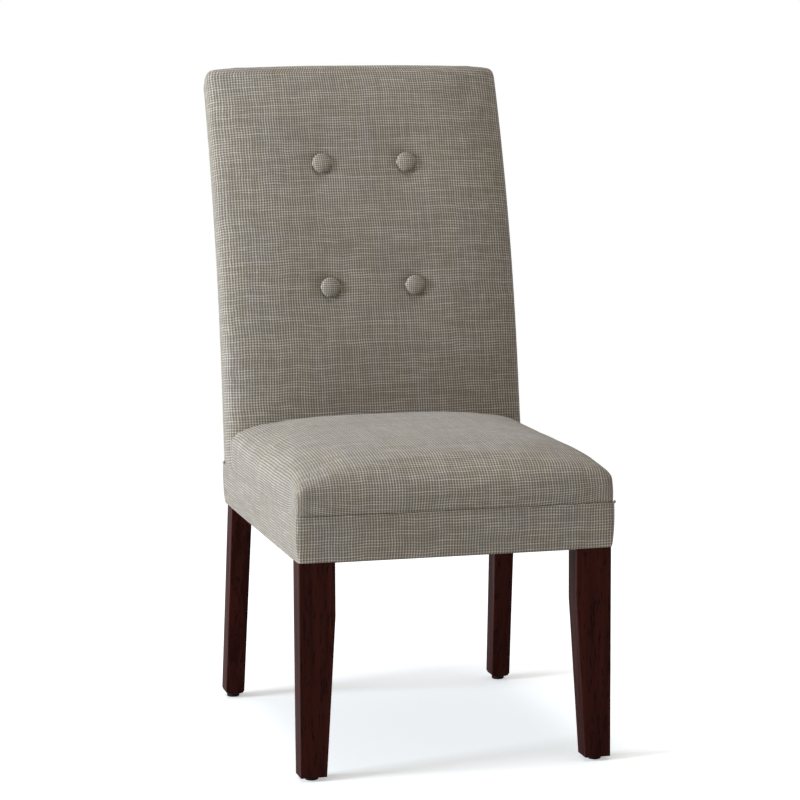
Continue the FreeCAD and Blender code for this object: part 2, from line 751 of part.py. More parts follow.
# Nail-on glides
def glide(end, side, x, y):
    name = f"{end}_{side}_glide"
    body = new_body(name)
    section = new_sketch(body, "XZ_Plane", "0", f"{name}_section")
    low_round = "(0.35 * glide_height)"
    draw_outline(section, [
        ("0", "0"),
        (f"glide_radius - {low_round}", "0"),
        ("glide_radius", low_round, low_round, 1),
        ("glide_radius", "0.75 * glide_height"),
        ("glide_radius - 1", "glide_height"),
        ("nail_radius", "glide_height"),
        ("nail_radius", "glide_height + nail_length - 2"),
        ("0", "glide_height + nail_length"),
    ])
    turned = body.newObject("PartDesign::Revolution", f"{name}_turned")
    turned.Profile = section
    turned.ReferenceAxis = (section, ["V_Axis"])
    turned.Angle = 360
    put(body, x, y, "0")
    keep(body)


# Woven seat webbing
def woven_outline(body, role, offset, name, crossings, half_run, starts_over):
    """Side profile of a strap that goes over and under the straps it crosses."""
    under = "rail_top + clearance / 3"
    over = f"{under} + strap_thickness + clearance / 3"
    flat = "(strap_width / 2 + 6)"
    line = [(half_run[0], under)]
    for index, crossing in enumerate(crossings):
        level = over if (index % 2 == 0) == starts_over else under
        line += [(f"{crossing} - {flat}", level), (f"{crossing} + {flat}", level)]
    line.append((half_run[1], under))
    sketch = new_sketch(body, role, offset, name)
    upper = [(u, f"{v} + strap_thickness") for u, v in reversed(line)]
    draw_outline(sketch, line + upper)
    return sketch


LENGTHWISE = [f"({k} * seat_strap_pitch_x)" for k in (-1.5, -0.5, 0.5, 1.5)]
MIDDLE_Y = "((frame_front_y + rear_rail_rear_y) / 2)"
CROSSWISE = [f"({MIDDLE_Y} + {k} * seat_strap_pitch_y)" for k in (-2, -1, 0, 1, 2)]


def seat_webbing():
    run_y = ("frame_front_y + 4", "rear_rail_rear_y - 3")
    run_x = ("-frame_half_width + 4", "frame_half_width - 4")
    straps = []
    for index, x in enumerate(LENGTHWISE):
        body = new_body(f"lengthwise_strap_{index + 1}")
        sketch = woven_outline(body, "YZ_Plane", x, f"lengthwise_line_{index + 1}", CROSSWISE, run_y,
                               index % 2 == 0)
        pad(body, sketch, "strap_width", f"lengthwise_band_{index + 1}", midplane=True)
        straps.append(body)
    group("seat_webbing_lengthwise", straps)
    straps = []
    for index, y in enumerate(CROSSWISE):
        body = new_body(f"crosswise_strap_{index + 1}")
        sketch = woven_outline(body, "XZ_Plane", f"-{y}", f"crosswise_line_{index + 1}", LENGTHWISE, run_x,
                               index % 2 == 1)
        pad(body, sketch, "strap_width", f"crosswise_band_{index + 1}", midplane=True)
        straps.append(body)
    group("seat_webbing_crosswise", straps)


def cut(name, base, tool):
    result = doc.addObject("Part::Cut", name)
    result.Label = name
    result.Base = base
    result.Tool = tool
    return result


def mirrored(right_half):
    """Closed outline, alike on both sides of the middle."""
    return right_half + [(f"-({x})", y) for x, y in reversed(right_half)]


# Seat cushion: crowned across and from front to back, and cut behind where it meets the back
def seat_solid(name, inset, low):
    body = new_body(name)
    half = f"seat_half_width - ({inset})"
    share = f"(crown_radius - ({inset})) / (crown_radius - seat_side_round)"
    end_x = f"(seat_half_width - seat_side_round) * {share}"
    end_z = f"crown_centre_z + (side_centre_z - crown_centre_z) * {share}"
    across = new_sketch(body, "XZ_Plane", "-post_front_y", f"{name}_across")
    draw_outline(across, [
        (f"-({half})", low),
        (half, low),
        (half, "side_centre_z"),
        (end_x, end_z, f"seat_side_round - ({inset})", 1),
        (f"-({end_x})", end_z, f"crown_radius - ({inset})", 1),
        (f"-({half})", "side_centre_z", f"seat_side_round - ({inset})", 1),
    ])
    pad(body, across, f"post_front_y - front_y - ({inset})", f"{name}_block")
    share = f"(front_crown_radius - ({inset})) / (front_crown_radius - seat_front_round)"
    end_y = f"front_y + seat_crown_run - (seat_crown_run - seat_front_round) * {share}"
    end_z = f"front_centre_z + (seat_front_height - front_centre_z) * {share}"
    behind = f"-(clearance + {inset})"
    above = "seat_crown_height + 30"
    along = new_sketch(body, "YZ_Plane", "0", f"{name}_along")
    draw_outline(along, [
        ("front_y - 20", "seat_front_height"),
        (f"front_y + {inset}", "seat_front_height"),
        (end_y, end_z, f"seat_front_round - ({inset})", -1),
        ("front_y + seat_crown_run", f"seat_crown_height - ({inset})",
         f"front_crown_radius - ({inset})", -1),
        face_line(behind, "seat_crown_height + 6"),
        face_line(behind, f"{low} - 5"),
        ("post_front_y + 20", f"{low} - 5"),
        ("post_front_y + 20", above),
        ("front_y - 20", above),
    ])
    pocket(body, along, "2 * band_width", f"{name}_top_and_rear", midplane=True)
    corner = f"seat_corner_round - {inset}"
    if number(corner) > 1:
        for side, sign in SIDES.items():
            plan = new_sketch(body, "XY_Plane", above, f"{name}_corner_{side}")
            edge = (f"{sign} * ({half})", f"front_y + {inset} + {corner}", corner, sign)
            draw_outline(plan, [
                (f"{sign} * ({half} - ({corner}))", f"front_y + {inset}"),
                edge,
                (f"{sign} * ({half} + 5)", edge[1]),
                (f"{sign} * ({half} + 5)", "front_y - 5"),
                (f"{sign} * ({half} - ({corner}))", "front_y - 5"),
            ])
            pocket(body, plan, "seat_crown_height", f"{name}_corner_cut_{side}")
    return body


def seat():
    lining = board("seat_lining", "3 - frame_half_width", "frame_half_width - 3", "frame_front_y + 3",
                   "face_y - clearance", "lining_bottom", "lining_thickness")
    keep(lining)
    keep(seat_solid("seat_foam", "seat_layers", "deck_height"))
    outer = seat_solid("wadding_outside", "cloth + clearance", "deck_height")
    inner = seat_solid("wadding_inside", "seat_layers - clearance", "deck_height - 5")
    keep(cut("seat_wadding", outer, inner))
    outer = seat_solid("cover_outside", "0", "seam_height")
    inner = seat_solid("cover_inside", "cloth", "seam_height - 5")
    keep(cut("seat_cover", outer, inner))


# Cloth band round the seat box: swells in the middle, folds over the rear rail and under all rails
def seat_band():
    body = new_body("seat_band")

    def section(height, swell, name):
        sketch = new_sketch(body, "XY_Plane", height, name)
        half = f"(band_width / 2 + {swell})"
        draw_rounded_rectangle(sketch, f"-{half}", half, f"front_y - {swell}",
                               f"front_y + band_depth + {swell}", "band_corner")
        return sketch

    sections = [
        section("band_bottom", "0", "band_foot"),
        section("(band_bottom + seam_height) / 2", "band_bulge", "band_middle"),
        section("seam_height - clearance", "seat_side_swell / 2", "band_head"),
    ]
    loft(body, sections[0], sections[1:], "band_swell", ruled=False)
    half = "(frame_half_width + clearance)"
    floor = "(band_bottom + cloth - clearance / 2)"
    fold = "(seam_height - clearance - cloth)"
    well = new_sketch(body, "XY_Plane", "seam_height", "band_well")
    ledge_y = frame_line("-(rear_build_up + clearance)", "seam_height")[0]
    draw_rectangle(well, f"-{half}", half, "frame_front_y - clearance", ledge_y)
    pocket(body, well, f"seam_height - {floor}", "band_inside")
    well = new_sketch(body, "XY_Plane", fold, "band_rear_well")
    draw_rectangle(well, f"-{half}", half, f"{ledge_y} - 5", "rear_rail_rear_y + clearance")
    pocket(body, well, f"{fold} - {floor}", "band_inside_rear")
    window = new_sketch(body, "XY_Plane", "band_bottom", "band_window")
    inner = "frame_half_width - band_turn_in"
    draw_outline(window, mirrored([
        ("leg_inner_x - 1", "frame_front_y - clearance"),
        (half, "frame_front_y - clearance"),
        (half, "leg_rear_y + 1"),
        (inner, "leg_rear_y + 1"),
        (inner, "post_front_y - 1"),
        (half, "post_front_y - 1"),
        (half, "post_rear_y + 1"),
        ("post_inner_x - 1", "post_rear_y + 1"),
        ("post_inner_x - 1", "rear_rail_rear_y - 0.6 * band_turn_in"),
    ]))
    pocket(body, window, "cloth", "band_opening", reverse=True)
    keep(body)


def dust_cover():
    body = new_body("dust_cover")
    plan = new_sketch(body, "XY_Plane", "band_bottom - clearance - dust_cover_thickness", "dust_cover_plan")
    edge = "frame_half_width - dust_cover_margin"
    draw_outline(plan, mirrored([
        ("leg_inner_x - 2", "frame_front_y + dust_cover_margin"),
        ("leg_inner_x - 2", "leg_rear_y + 2"),
        (edge, "leg_rear_y + 2"),
        (edge, "post_front_y - 2"),
        ("post_inner_x - 2", "post_front_y - 2"),
        ("post_inner_x - 2", "rear_rail_rear_y - dust_cover_margin"),
    ]))
    pad(body, plan, "dust_cover_thickness", "dust_cover_sheet")
    keep(body)


# Buttons: each has a side and the angle of its axis on the face curve
BUTTONS = {
    f"{level}_{side}": (sign, f"{level}_button_angle")
    for level in ("upper", "lower") for side, sign in SIDES.items()
}


def depth_to(radius, angle):
    """Depth behind the face, along a button's axis, of a circle round the frame curve's centre."""
    along = f"(centre_shift_z * sin({angle}) - centre_shift_y * cos({angle}))"
    across = f"(centre_shift_y * sin({angle}) + centre_shift_z * cos({angle}))"
    return f"(face_radius - {along} - sqrt(({radius})^2 - {across}^2))"


def on_button_axis(feature, sign, angle, depth):
    """Stand a feature that is built up along +Z on a button's axis, at a depth behind the face."""
    feature.Placement = FreeCAD.Placement(FreeCAD.Vector(), FreeCAD.Rotation(FreeCAD.Vector(1, 0, 0), 80))
    feature.setExpression("Placement.Rotation.Angle", bound(f"90 - {angle}"))
    put(feature, f"{sign} * button_spacing / 2", *on_face(f"face_radius - ({depth})", angle))


def on_axis_cylinder(name, radius, sign, angle, deep, shallow):
    rod = doc.addObject("Part::Cylinder", name)
    rod.setExpression("Radius", bound(radius))
    rod.setExpression("Height", bound(f"{deep} - ({shallow})"))
    on_button_axis(rod, sign, angle, deep)
    return rod


def tunnels():
    rods = []
    for name, (sign, angle) in BUTTONS.items():
        deep = depth_to("post_front_radius - 5", angle)
        rods.append(on_axis_cylinder(f"{name}_tunnel", "tunnel_radius", sign, angle, deep, "-5"))
    holes = doc.addObject("Part::Compound", "button_tunnels")
    holes.Links = rods
    return holes


# Back: solids between an inset face and a rear surface that follows the posts
def back_solid(name, inset, rear, low, dimpled=True):
    """inset: from the finished face, top and sides; rear: how far behind the posts' rear face."""
    body = new_body(name)
    rise = f"top_build_up - ({inset})"
    face = f"(face_radius - ({inset}))"
    back = f"(frame_radius - ({rear}))"
    side = new_sketch(body, "YZ_Plane", "0", f"{name}_side")
    draw_outline(side, [
        face_line(inset, low),
        on_face(face, "face_rake"),
        (*top_on_face(face, rise), face, -1),
        top_on_frame(back, rise),
        (*on_frame(back, "frame_rake"), back, 1),
        frame_line(f"-({rear})", low),
    ])
    block = pad(body, side, f"2 * (back_half_width - ({inset}))", f"{name}_block", midplane=True)
    centre_y, centre_z = number("frame_centre_y"), number("frame_centre_z")
    reach, bottom, top = number(back) + 1, number(low) + 1, number("post_top_height") - 30
    lean_y, lean = number("frame_bend_y"), math.tan(math.radians(number("frame_rake")))
    bend, behind = number("frame_bend_height"), number(rear)

    def in_front(edge):
        point = middle_of(edge)
        if point.z < bottom or (abs(direction_of(edge).x) > 0.9 and point.z < top):
            return False
        if point.z < bend:
            return point.y < lean_y + (point.z - bend) * lean + behind - 1
        return math.hypot(point.y - centre_y, point.z - centre_z) > reach

    round_edges(body, block, f"back_edge_round - ({inset})", f"{name}_rounding", in_front)
    if dimpled:
        for button, (sign, angle) in BUTTONS.items():
            ball = body.newObject("PartDesign::SubtractiveSphere", f"{name}_{button}")
            ball.setExpression("Radius", bound(f"dimple_radius + {inset}"))
            put(ball, f"{sign} * button_spacing / 2",
                *on_face("(face_radius + dimple_radius - dimple_depth)", angle))
    return body


def back_sheet(name, near, far, low):
    """Sheet behind the posts, between two offsets behind their rear face."""
    body = new_body(name)
    rise = "(top_build_up - cloth - clearance)"
    inner, outer = f"(frame_radius - ({near}))", f"(frame_radius - ({far}))"
    side = new_sketch(body, "YZ_Plane", "0", f"{name}_side")
    draw_outline(side, [
        frame_line(f"-({near})", low),
        on_frame(inner, "frame_rake"),
        (*top_on_frame(inner, rise), inner, -1),
        top_on_frame(outer, rise),
        (*on_frame(outer, "frame_rake"), outer, 1),
        frame_line(f"-({far})", low),
    ])
    sheet = pad(body, side, "2 * (back_half_width - cloth - clearance)", f"{name}_block", midplane=True)
    top = number("post_top_height") - 10
    round_edges(body, sheet, "back_edge_round - cloth - clearance", f"{name}_corners",
                lambda edge: middle_of(edge).z > top and abs(direction_of(edge).x) < 0.1)
    return keep(body)


def back_webbing(holes):
    near = "(post_front_radius + clearance)"
    far = "(post_front_radius + clearance + strap_thickness)"
    straps = []
    for index, height in enumerate(("lumbar_strap_height", "lower_button_height", "upper_button_height")):
        middle = f"asin(({height} - frame_centre_z) / post_front_radius) / 1deg"
        low, high = [f"({middle} + {turn} * deg_per_rad * strap_width / 2 / post_front_radius)"
                     for turn in (-1, 1)]
        body = new_body(f"horizontal_strap_{index + 1}")
        side = new_sketch(body, "YZ_Plane", "0", f"horizontal_strap_line_{index + 1}")
        draw_outline(side, [
            on_frame(far, low),
            (*on_frame(far, high), far, -1),
            on_frame(near, high),
            (*on_frame(near, low), near, 1),
        ])
        pad(body, side, "2 * (post_inner_x + 0.7 * post_width)", f"horizontal_strap_band_{index + 1}",
            midplane=True)
        straps.append(body)
    compound = doc.addObject("Part::Compound", "horizontal_straps")
    compound.Links = straps
    keep(cut("back_webbing_horizontal", compound, holes))
    near = "(foam_rear_radius - clearance - strap_thickness)"
    far = "(foam_rear_radius - clearance)"
    offset = "post_depth + strap_thickness + 2 * clearance"
    low = "lower_rail_height - back_rail_height / 4"
    high = "(frame_top_angle - 20 * deg_per_rad / post_front_radius)"
    straps = []
    for side_name, sign in SIDES.items():
        body = new_body(f"vertical_strap_{side_name}")
        side = new_sketch(body, "YZ_Plane", f"{sign} * button_spacing / 2", f"vertical_strap_line_{side_name}")
        draw_outline(side, [
            frame_line(offset, low),
            frame_line(f"{offset} + strap_thickness", low),
            on_frame(far, "frame_rake"),
            (*on_frame(far, high), far, -1),
            on_frame(near, high),
            (*on_frame(near, "frame_rake"), near, 1),
        ])
        pad(body, side, "strap_width", f"vertical_strap_band_{side_name}", midplane=True)
        straps.append(body)
    compound = doc.addObject("Part::Compound", "vertical_straps")
    compound.Links = straps
    keep(cut("back_webbing_vertical", compound, holes))


def back():
    holes = tunnels()
    back_webbing(holes)
    low = "(seam_height + clearance)"
    foam = back_solid("foam_block", "side_build_up", "frame_radius - foam_rear_radius", low)
    keep(cut("back_foam", foam, holes))
    outer = back_solid("padding_outside", "(cloth + clearance)", "0", low)
    inner = back_solid("padding_inside", "(side_build_up - clearance)", "rear_build_up", f"({low} - 5)")
    shell = cut("padding_shell", outer, inner)
    keep(cut("back_padding", shell, holes))
    outer = back_solid("face_outside", "0", "rear_build_up", "seam_height")
    inner = back_solid("face_inside", "cloth", "rear_build_up + 5", "(seam_height - 5)")
    shell = cut("face_shell", outer, inner)
    keep(cut("inside_back_cover", shell, holes))
    wadding = "clearance + outside_lining + clearance"
    cover = "rear_build_up - cloth"
    back_sheet("outside_back_lining", "clearance", "clearance + outside_lining", "seam_height")
    back_sheet("outside_back_wadding", wadding, f"{wadding} + outside_wadding", "seam_height")
    back_sheet("outside_back_cover", cover, "rear_build_up", "seam_height")


def button(name, sign, angle):
    body = new_body(f"tufting_button_{name}")
    section = new_sketch(body, "XZ_Plane", "0", f"button_section_{name}")
    draw_outline(section, [
        ("0", "-shank_length"),
        ("shank_radius", "-shank_length"),
        ("shank_radius", "0"),
        ("button_radius - 1", "0"),
        ("button_radius", "1.5"),
        ("0", "button_dome", "button_dome_radius", 1),
    ])
    turned = body.newObject("PartDesign::Revolution", f"button_{name}")
    turned.Profile = section
    turned.ReferenceAxis = (section, ["V_Axis"])
    turned.Angle = 360
    on_button_axis(body, sign, angle, "button_depth")
    keep(body)


def tufting():
    strings, anchors = [], []
    for name, (sign, angle) in BUTTONS.items():
        button(name, sign, angle)
        top = f"({depth_to('post_front_radius', angle)} + clearance)"
        bottom = f"({top} + anchor_thickness)"
        strings.append(on_axis_cylinder(f"{name}_twine", "twine_radius", sign, angle, bottom,
                                        "button_depth + shank_length + clearance"))
        disc = on_axis_cylinder(f"{name}_anchor_disc", "anchor_radius", sign, angle, bottom, top)
        hole = on_axis_cylinder(f"{name}_anchor_hole", "twine_radius + play", sign, angle,
                                f"({bottom} + 5)", f"({top} - 5)")
        anchors.append(cut(f"{name}_anchor", disc, hole))
    group("button_twines", strings)
    group("button_anchors", anchors)


for side, sign in SIDES.items():
    front_leg(side, sign)
    rear_post(side, sign)
    side_seat_rail(side, sign)
    corner_block("front", side, sign, FRONT_BLOCK,
                 (FRONT_BLOCK_X, "front_rail_rear_y", -1), (FRONT_BLOCK_Y, "side_rail_inner_x"))
    corner_block("rear", side, sign, REAR_BLOCK,
                 (REAR_BLOCK_X, "post_rear_y", 1), (REAR_BLOCK_Y, "side_rail_inner_x"))
    glide("front", side, f"{sign} * front_glide_x", "front_glide_y")
    glide("rear", side, f"{sign} * rear_glide_x", "rear_glide_y")
for name in BACK_RAILS:
    back_rail(name)
front_seat_rail()
rear_seat_rail()
corner_screws()
rear_rail_fixings()
dowels()
seat_webbing()
seat()
seat_band()
dust_cover()
back()
tufting()

# Final checks and export
doc.recompute()
for feature in doc.Objects:
    if "Invalid" in feature.State or "Error" in feature.State:
        raise RuntimeError(f"{feature.Label} does not compute")
for part in NODES:
    if part.Shape.isNull() or not part.Shape.isValid():
        raise RuntimeError(f"{part.Label} has no valid shape")
os.makedirs("parts", exist_ok=True)
for part in NODES:
    part.Shape.exportStep(f"parts/{part.Label}.step")
print(len(NODES), "pieces written")
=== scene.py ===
import json
import math

import bmesh
import bpy
import numpy as np
from mathutils import Euler, Matrix, Vector


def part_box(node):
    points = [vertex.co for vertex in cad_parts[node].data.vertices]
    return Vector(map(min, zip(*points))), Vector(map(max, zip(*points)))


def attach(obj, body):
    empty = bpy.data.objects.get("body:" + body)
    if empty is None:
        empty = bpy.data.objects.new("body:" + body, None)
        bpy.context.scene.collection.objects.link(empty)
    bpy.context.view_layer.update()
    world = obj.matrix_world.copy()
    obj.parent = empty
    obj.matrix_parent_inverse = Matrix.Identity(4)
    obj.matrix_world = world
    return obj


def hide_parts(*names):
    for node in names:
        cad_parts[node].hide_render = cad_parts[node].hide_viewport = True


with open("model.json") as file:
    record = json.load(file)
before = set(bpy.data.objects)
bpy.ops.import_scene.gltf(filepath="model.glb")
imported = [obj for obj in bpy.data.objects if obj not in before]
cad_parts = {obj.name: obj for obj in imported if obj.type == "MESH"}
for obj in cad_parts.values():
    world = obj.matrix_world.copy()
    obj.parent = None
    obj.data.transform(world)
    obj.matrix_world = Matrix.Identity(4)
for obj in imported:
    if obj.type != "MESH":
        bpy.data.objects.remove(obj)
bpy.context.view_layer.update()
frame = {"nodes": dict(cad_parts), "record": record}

scene = bpy.context.scene

# Places on the chair, in metres: X across, -Y front, +Z up
FRONT_Y = -0.3435
SEAM_Z = 0.3924
BAND_BOTTOM = 0.325
BAND_HALF = 0.240
BAND_DEPTH = 0.551
BAND_BULGE = 0.0011                  # swell at mid height
BAND_FLARE = 0.0024                  # wider at the seam than under the rails
BAND_CHECK_SHIFT = 0.0021

FACE_Y = FRONT_Y + 0.4548            # face of the back at the seam
FACE_RAKE = math.radians(9)
FACE_STRAIGHT = 0.1576 / math.cos(FACE_RAKE)
FACE_RADIUS = 1.890
REAR_Y = FRONT_Y + 0.5352            # rear face of the posts at the rails' top
REAR_RAKE = math.radians(6.25)
REAR_STRAIGHT = 0.1106 / math.cos(REAR_RAKE)
REAR_RADIUS = 1.750
RAIL_TOP = 0.3894
POST_TOP = 1.005
BACK_HALF = 0.2435
TOP_RISE = 0.0061                    # top of the back above the posts

RAIL_COVERED = 0.035                 # width of the dust cloth that lies on the rails
BUTTON_X = 0.0705
BUTTON_HEIGHTS = {"upper": 0.873, "lower": 0.676}
BUTTON_RADIUS = 0.016
BUTTON_DOME = 0.0066
BUTTON_SUNK = 0.0046                 # base below the face of the back
BUTTON_WEAVE = 1.25                  # the check looks finer on the buttons
DIMPLE_DEPTH = 0.008
DIMPLE_REACH = 0.020
WEAVE_PITCH = 0.00425                # from one line of the check to the next


# Modelling helpers
def only(piece):
    """Make one piece the active and only selected one."""
    bpy.ops.object.select_all(action="DESELECT")
    piece.select_set(True)
    bpy.context.view_layer.objects.active = piece


def named(name):
    """Name the piece that was just made."""
    piece = bpy.context.active_object
    piece.name = name
    piece.data.name = name
    return piece


def edit(piece):
    """Open one piece in edit mode with nothing selected."""
    only(piece)
    bpy.ops.object.mode_set(mode="EDIT")
    bpy.ops.mesh.select_all(action="DESELECT")


def leave_edit():
    bpy.ops.object.mode_set(mode="OBJECT")


def pick(piece, kind, test):
    """Select the vertices, edges or faces for which a test holds, in edit mode."""
    bpy.ops.mesh.select_mode(type=kind)
    bpy.ops.mesh.select_all(action="DESELECT")
    mesh = bmesh.from_edit_mesh(piece.data)
    for item in {"VERT": mesh.verts, "EDGE": mesh.edges, "FACE": mesh.faces}[kind]:
        item.select_set(bool(test(item)))
    mesh.select_flush_mode()
    bmesh.update_edit_mesh(piece.data)


def fine_cube(name, cuts):
    """Cube of 2 m whose faces are cut up evenly."""
    bpy.ops.object.select_all(action="DESELECT")
    bpy.ops.mesh.primitive_cube_add(size=2)
    piece = named(name)
    edit(piece)
    bpy.ops.mesh.select_all(action="SELECT")
    bpy.ops.mesh.subdivide(number_cuts=cuts)
    leave_edit()
    return piece


def middle(item):
    return sum((v.co for v in item.verts), Vector()) / len(item.verts)


def apply_all(piece):
    """Apply a piece's modifiers and its place."""
    only(piece)
    for modifier in list(piece.modifiers):
        bpy.ops.object.modifier_apply(modifier=modifier.name)
    bpy.ops.object.transform_apply(location=True, rotation=True, scale=True)


def add_modifier(piece, kind, **settings):
    """Add a modifier with its settings."""
    modifier = piece.modifiers.new(kind.title(), kind)
    for key, value in settings.items():
        setattr(modifier, key, value)
    return modifier


def points(piece):
    flat = np.empty(len(piece.data.vertices) * 3)
    piece.data.vertices.foreach_get("co", flat)
    return flat.reshape(-1, 3)


def set_points(piece, places):
    piece.data.vertices.foreach_set("co", np.ascontiguousarray(places).ravel())
    piece.data.update()


def face_means(piece, values):
    """Mean of a value of the vertices, for each face."""
    loops = np.empty(len(piece.data.loops), dtype=int)
    piece.data.loops.foreach_get("vertex_index", loops)
    starts = np.empty(len(piece.data.polygons), dtype=int)
    piece.data.polygons.foreach_get("loop_start", starts)
    counts = np.diff(np.append(starts, len(loops)))
    return np.add.reduceat(values[loops], starts) / counts, loops, counts


def lay_weave(piece, over_a, coords_a, over_b, coords_b):
    """Lay the cloth's own coordinates, in metres: each face takes the fold that it is further over."""
    mean_a, loops, counts = face_means(piece, over_a)
    mean_b = face_means(piece, over_b)[0]
    first = np.repeat(mean_a > mean_b, counts)
    coords = np.where(first[:, None], coords_a[loops], coords_b[loops])
    layer = piece.data.uv_layers.get("weave") or piece.data.uv_layers.new(name="weave")
    layer.data.foreach_set("uv", coords.ravel())


def lay_flat(piece, coords):
    """Lay the cloth's coordinates on a piece that has no second fold."""
    level = np.zeros(len(coords))
    lay_weave(piece, level, coords, level, coords)


def wrap(out, up, edge, crest, radius):
    """Length along a line that runs outwards, turns over a round edge and goes down."""
    start, level = edge - radius, crest - radius
    turn = np.arctan2(np.maximum(out - start, 0), np.maximum(up - level, 1e-9))
    return np.where(out < start, out, start + radius * turn + np.maximum(level - up, 0))


def smooth_step(t):
    t = np.clip(t, 0, 1)
    return t * t * (3 - 2 * t)


def rounded(share, powers):
    """Height across a crowned cushion, from 1 in the middle to 0 at the edge."""
    return (1 - np.clip(np.abs(share), 0, 1) ** powers[0]) ** powers[1]


def over_crown(share, up, half, rise, powers):
    """Length of cloth from the middle of a crown to a point, and down its side."""
    step = 1 - np.linspace(1, 0, 400) ** 3
    out, height = half * step, rise * rounded(step, powers)
    lengths = np.concatenate([[0], np.cumsum(np.hypot(np.diff(out), np.diff(height)))])
    angles = np.arctan2(rounded(step, powers), step)
    angle = np.arctan2(np.maximum(up, 0), np.abs(share) + 1e-9)
    return np.interp(angle, angles[::-1], lengths[::-1]) + np.maximum(-up, 0) * rise


def round_corner(out_x, out_y):
    """Share by which a point in a corner's square moves in, to lie on its quarter circle."""
    inside = (out_x > 0) & (out_y > 0)
    return np.where(inside, np.maximum(out_x, out_y) / np.maximum(np.hypot(out_x, out_y), 1e-9), 1)


def closer(value):
    """Steps that crowd towards both ends of -1 to 1."""
    return np.sign(value) * (1 - (1 - np.abs(value)) ** 2)


# Curves of the back, in the (y, z) plane
def curve(y0, z0, rake, straight, radius):
    """Line that leans back by rake for a length, then bends backwards.

    Gives the place at a length and a depth, the length and depth of a place, and the bend's centre.
    """
    bend_y, bend_z = y0 + straight * math.sin(rake), z0 + straight * math.cos(rake)
    centre_y, centre_z = bend_y + radius * math.cos(rake), bend_z - radius * math.sin(rake)

    def at(length, depth=0.0):
        bent = length > straight
        angle = rake + np.maximum(length - straight, 0) / radius
        reach = radius - depth
        y = np.where(bent, centre_y - reach * np.cos(angle),
                     y0 + length * math.sin(rake) + depth * math.cos(rake))
        z = np.where(bent, centre_z + reach * np.sin(angle),
                     z0 + length * math.cos(rake) - depth * math.sin(rake))
        return np.stack([y, z], axis=-1)

    def measure(y, z):
        """Length along the line and depth behind it, of many points."""
        along = (y - y0) * math.sin(rake) + (z - z0) * math.cos(rake)
        behind = (y - y0) * math.cos(rake) - (z - z0) * math.sin(rake)
        angle = np.arctan2(z - centre_z, centre_y - y)
        bent = along > straight
        length = np.where(bent, straight + radius * (angle - rake), along)
        depth = np.where(bent, radius - np.hypot(y - centre_y, z - centre_z), behind)
        return length, depth

    return at, measure, centre_z, centre_y


face_at, face_measure, FACE_CENTRE_Z, FACE_CENTRE_Y = curve(
    FACE_Y, SEAM_Z, FACE_RAKE, FACE_STRAIGHT, FACE_RADIUS)
rear_at, rear_measure, REAR_CENTRE_Z, _ = curve(
    REAR_Y, RAIL_TOP, REAR_RAKE, REAR_STRAIGHT, REAR_RADIUS)
REAR_TOP_ANGLE = math.asin((POST_TOP - REAR_CENTRE_Z) / REAR_RADIUS)
REAR_LENGTH = REAR_STRAIGHT + REAR_RADIUS * (REAR_TOP_ANGLE - REAR_RAKE)


def face_length_at_top(rise):
    """Length along the face up to the line square across the posts' tops, a rise above them."""
    along = np.array((math.sin(REAR_TOP_ANGLE), math.cos(REAR_TOP_ANGLE)))
    base = rear_at(REAR_LENGTH)
    low, high = 0.0, 1.0
    for _ in range(40):
        length = (low + high) / 2
        if (face_at(length) - base) @ along < rise:
            low = length
        else:
            high = length
    return low


FACE_LENGTH = face_length_at_top(TOP_RISE)


# Shader helpers
class Wire:
    """A value in a shader that can be worked with as a number."""

    def __init__(self, finish, socket):
        self.finish = finish
        self.socket = socket

    def _math(self, operation, *values):
        return self.finish.node("ShaderNodeMath", {"operation": operation}, dict(enumerate(values)))

    def __add__(self, other):
        return self._math("ADD", self, other)

    def __radd__(self, other):
        return self._math("ADD", other, self)

    def __sub__(self, other):
        return self._math("SUBTRACT", self, other)

    def __mul__(self, other):
        return self._math("MULTIPLY", self, other)

    def __rmul__(self, other):
        return self._math("MULTIPLY", other, self)

    def __truediv__(self, other):
        return self._math("DIVIDE", self, other)

    def __pow__(self, other):
        return self._math("POWER", self, other)

    def floor(self):
        return self._math("FLOOR", self)

    def sine(self):
        return self._math("SINE", self)


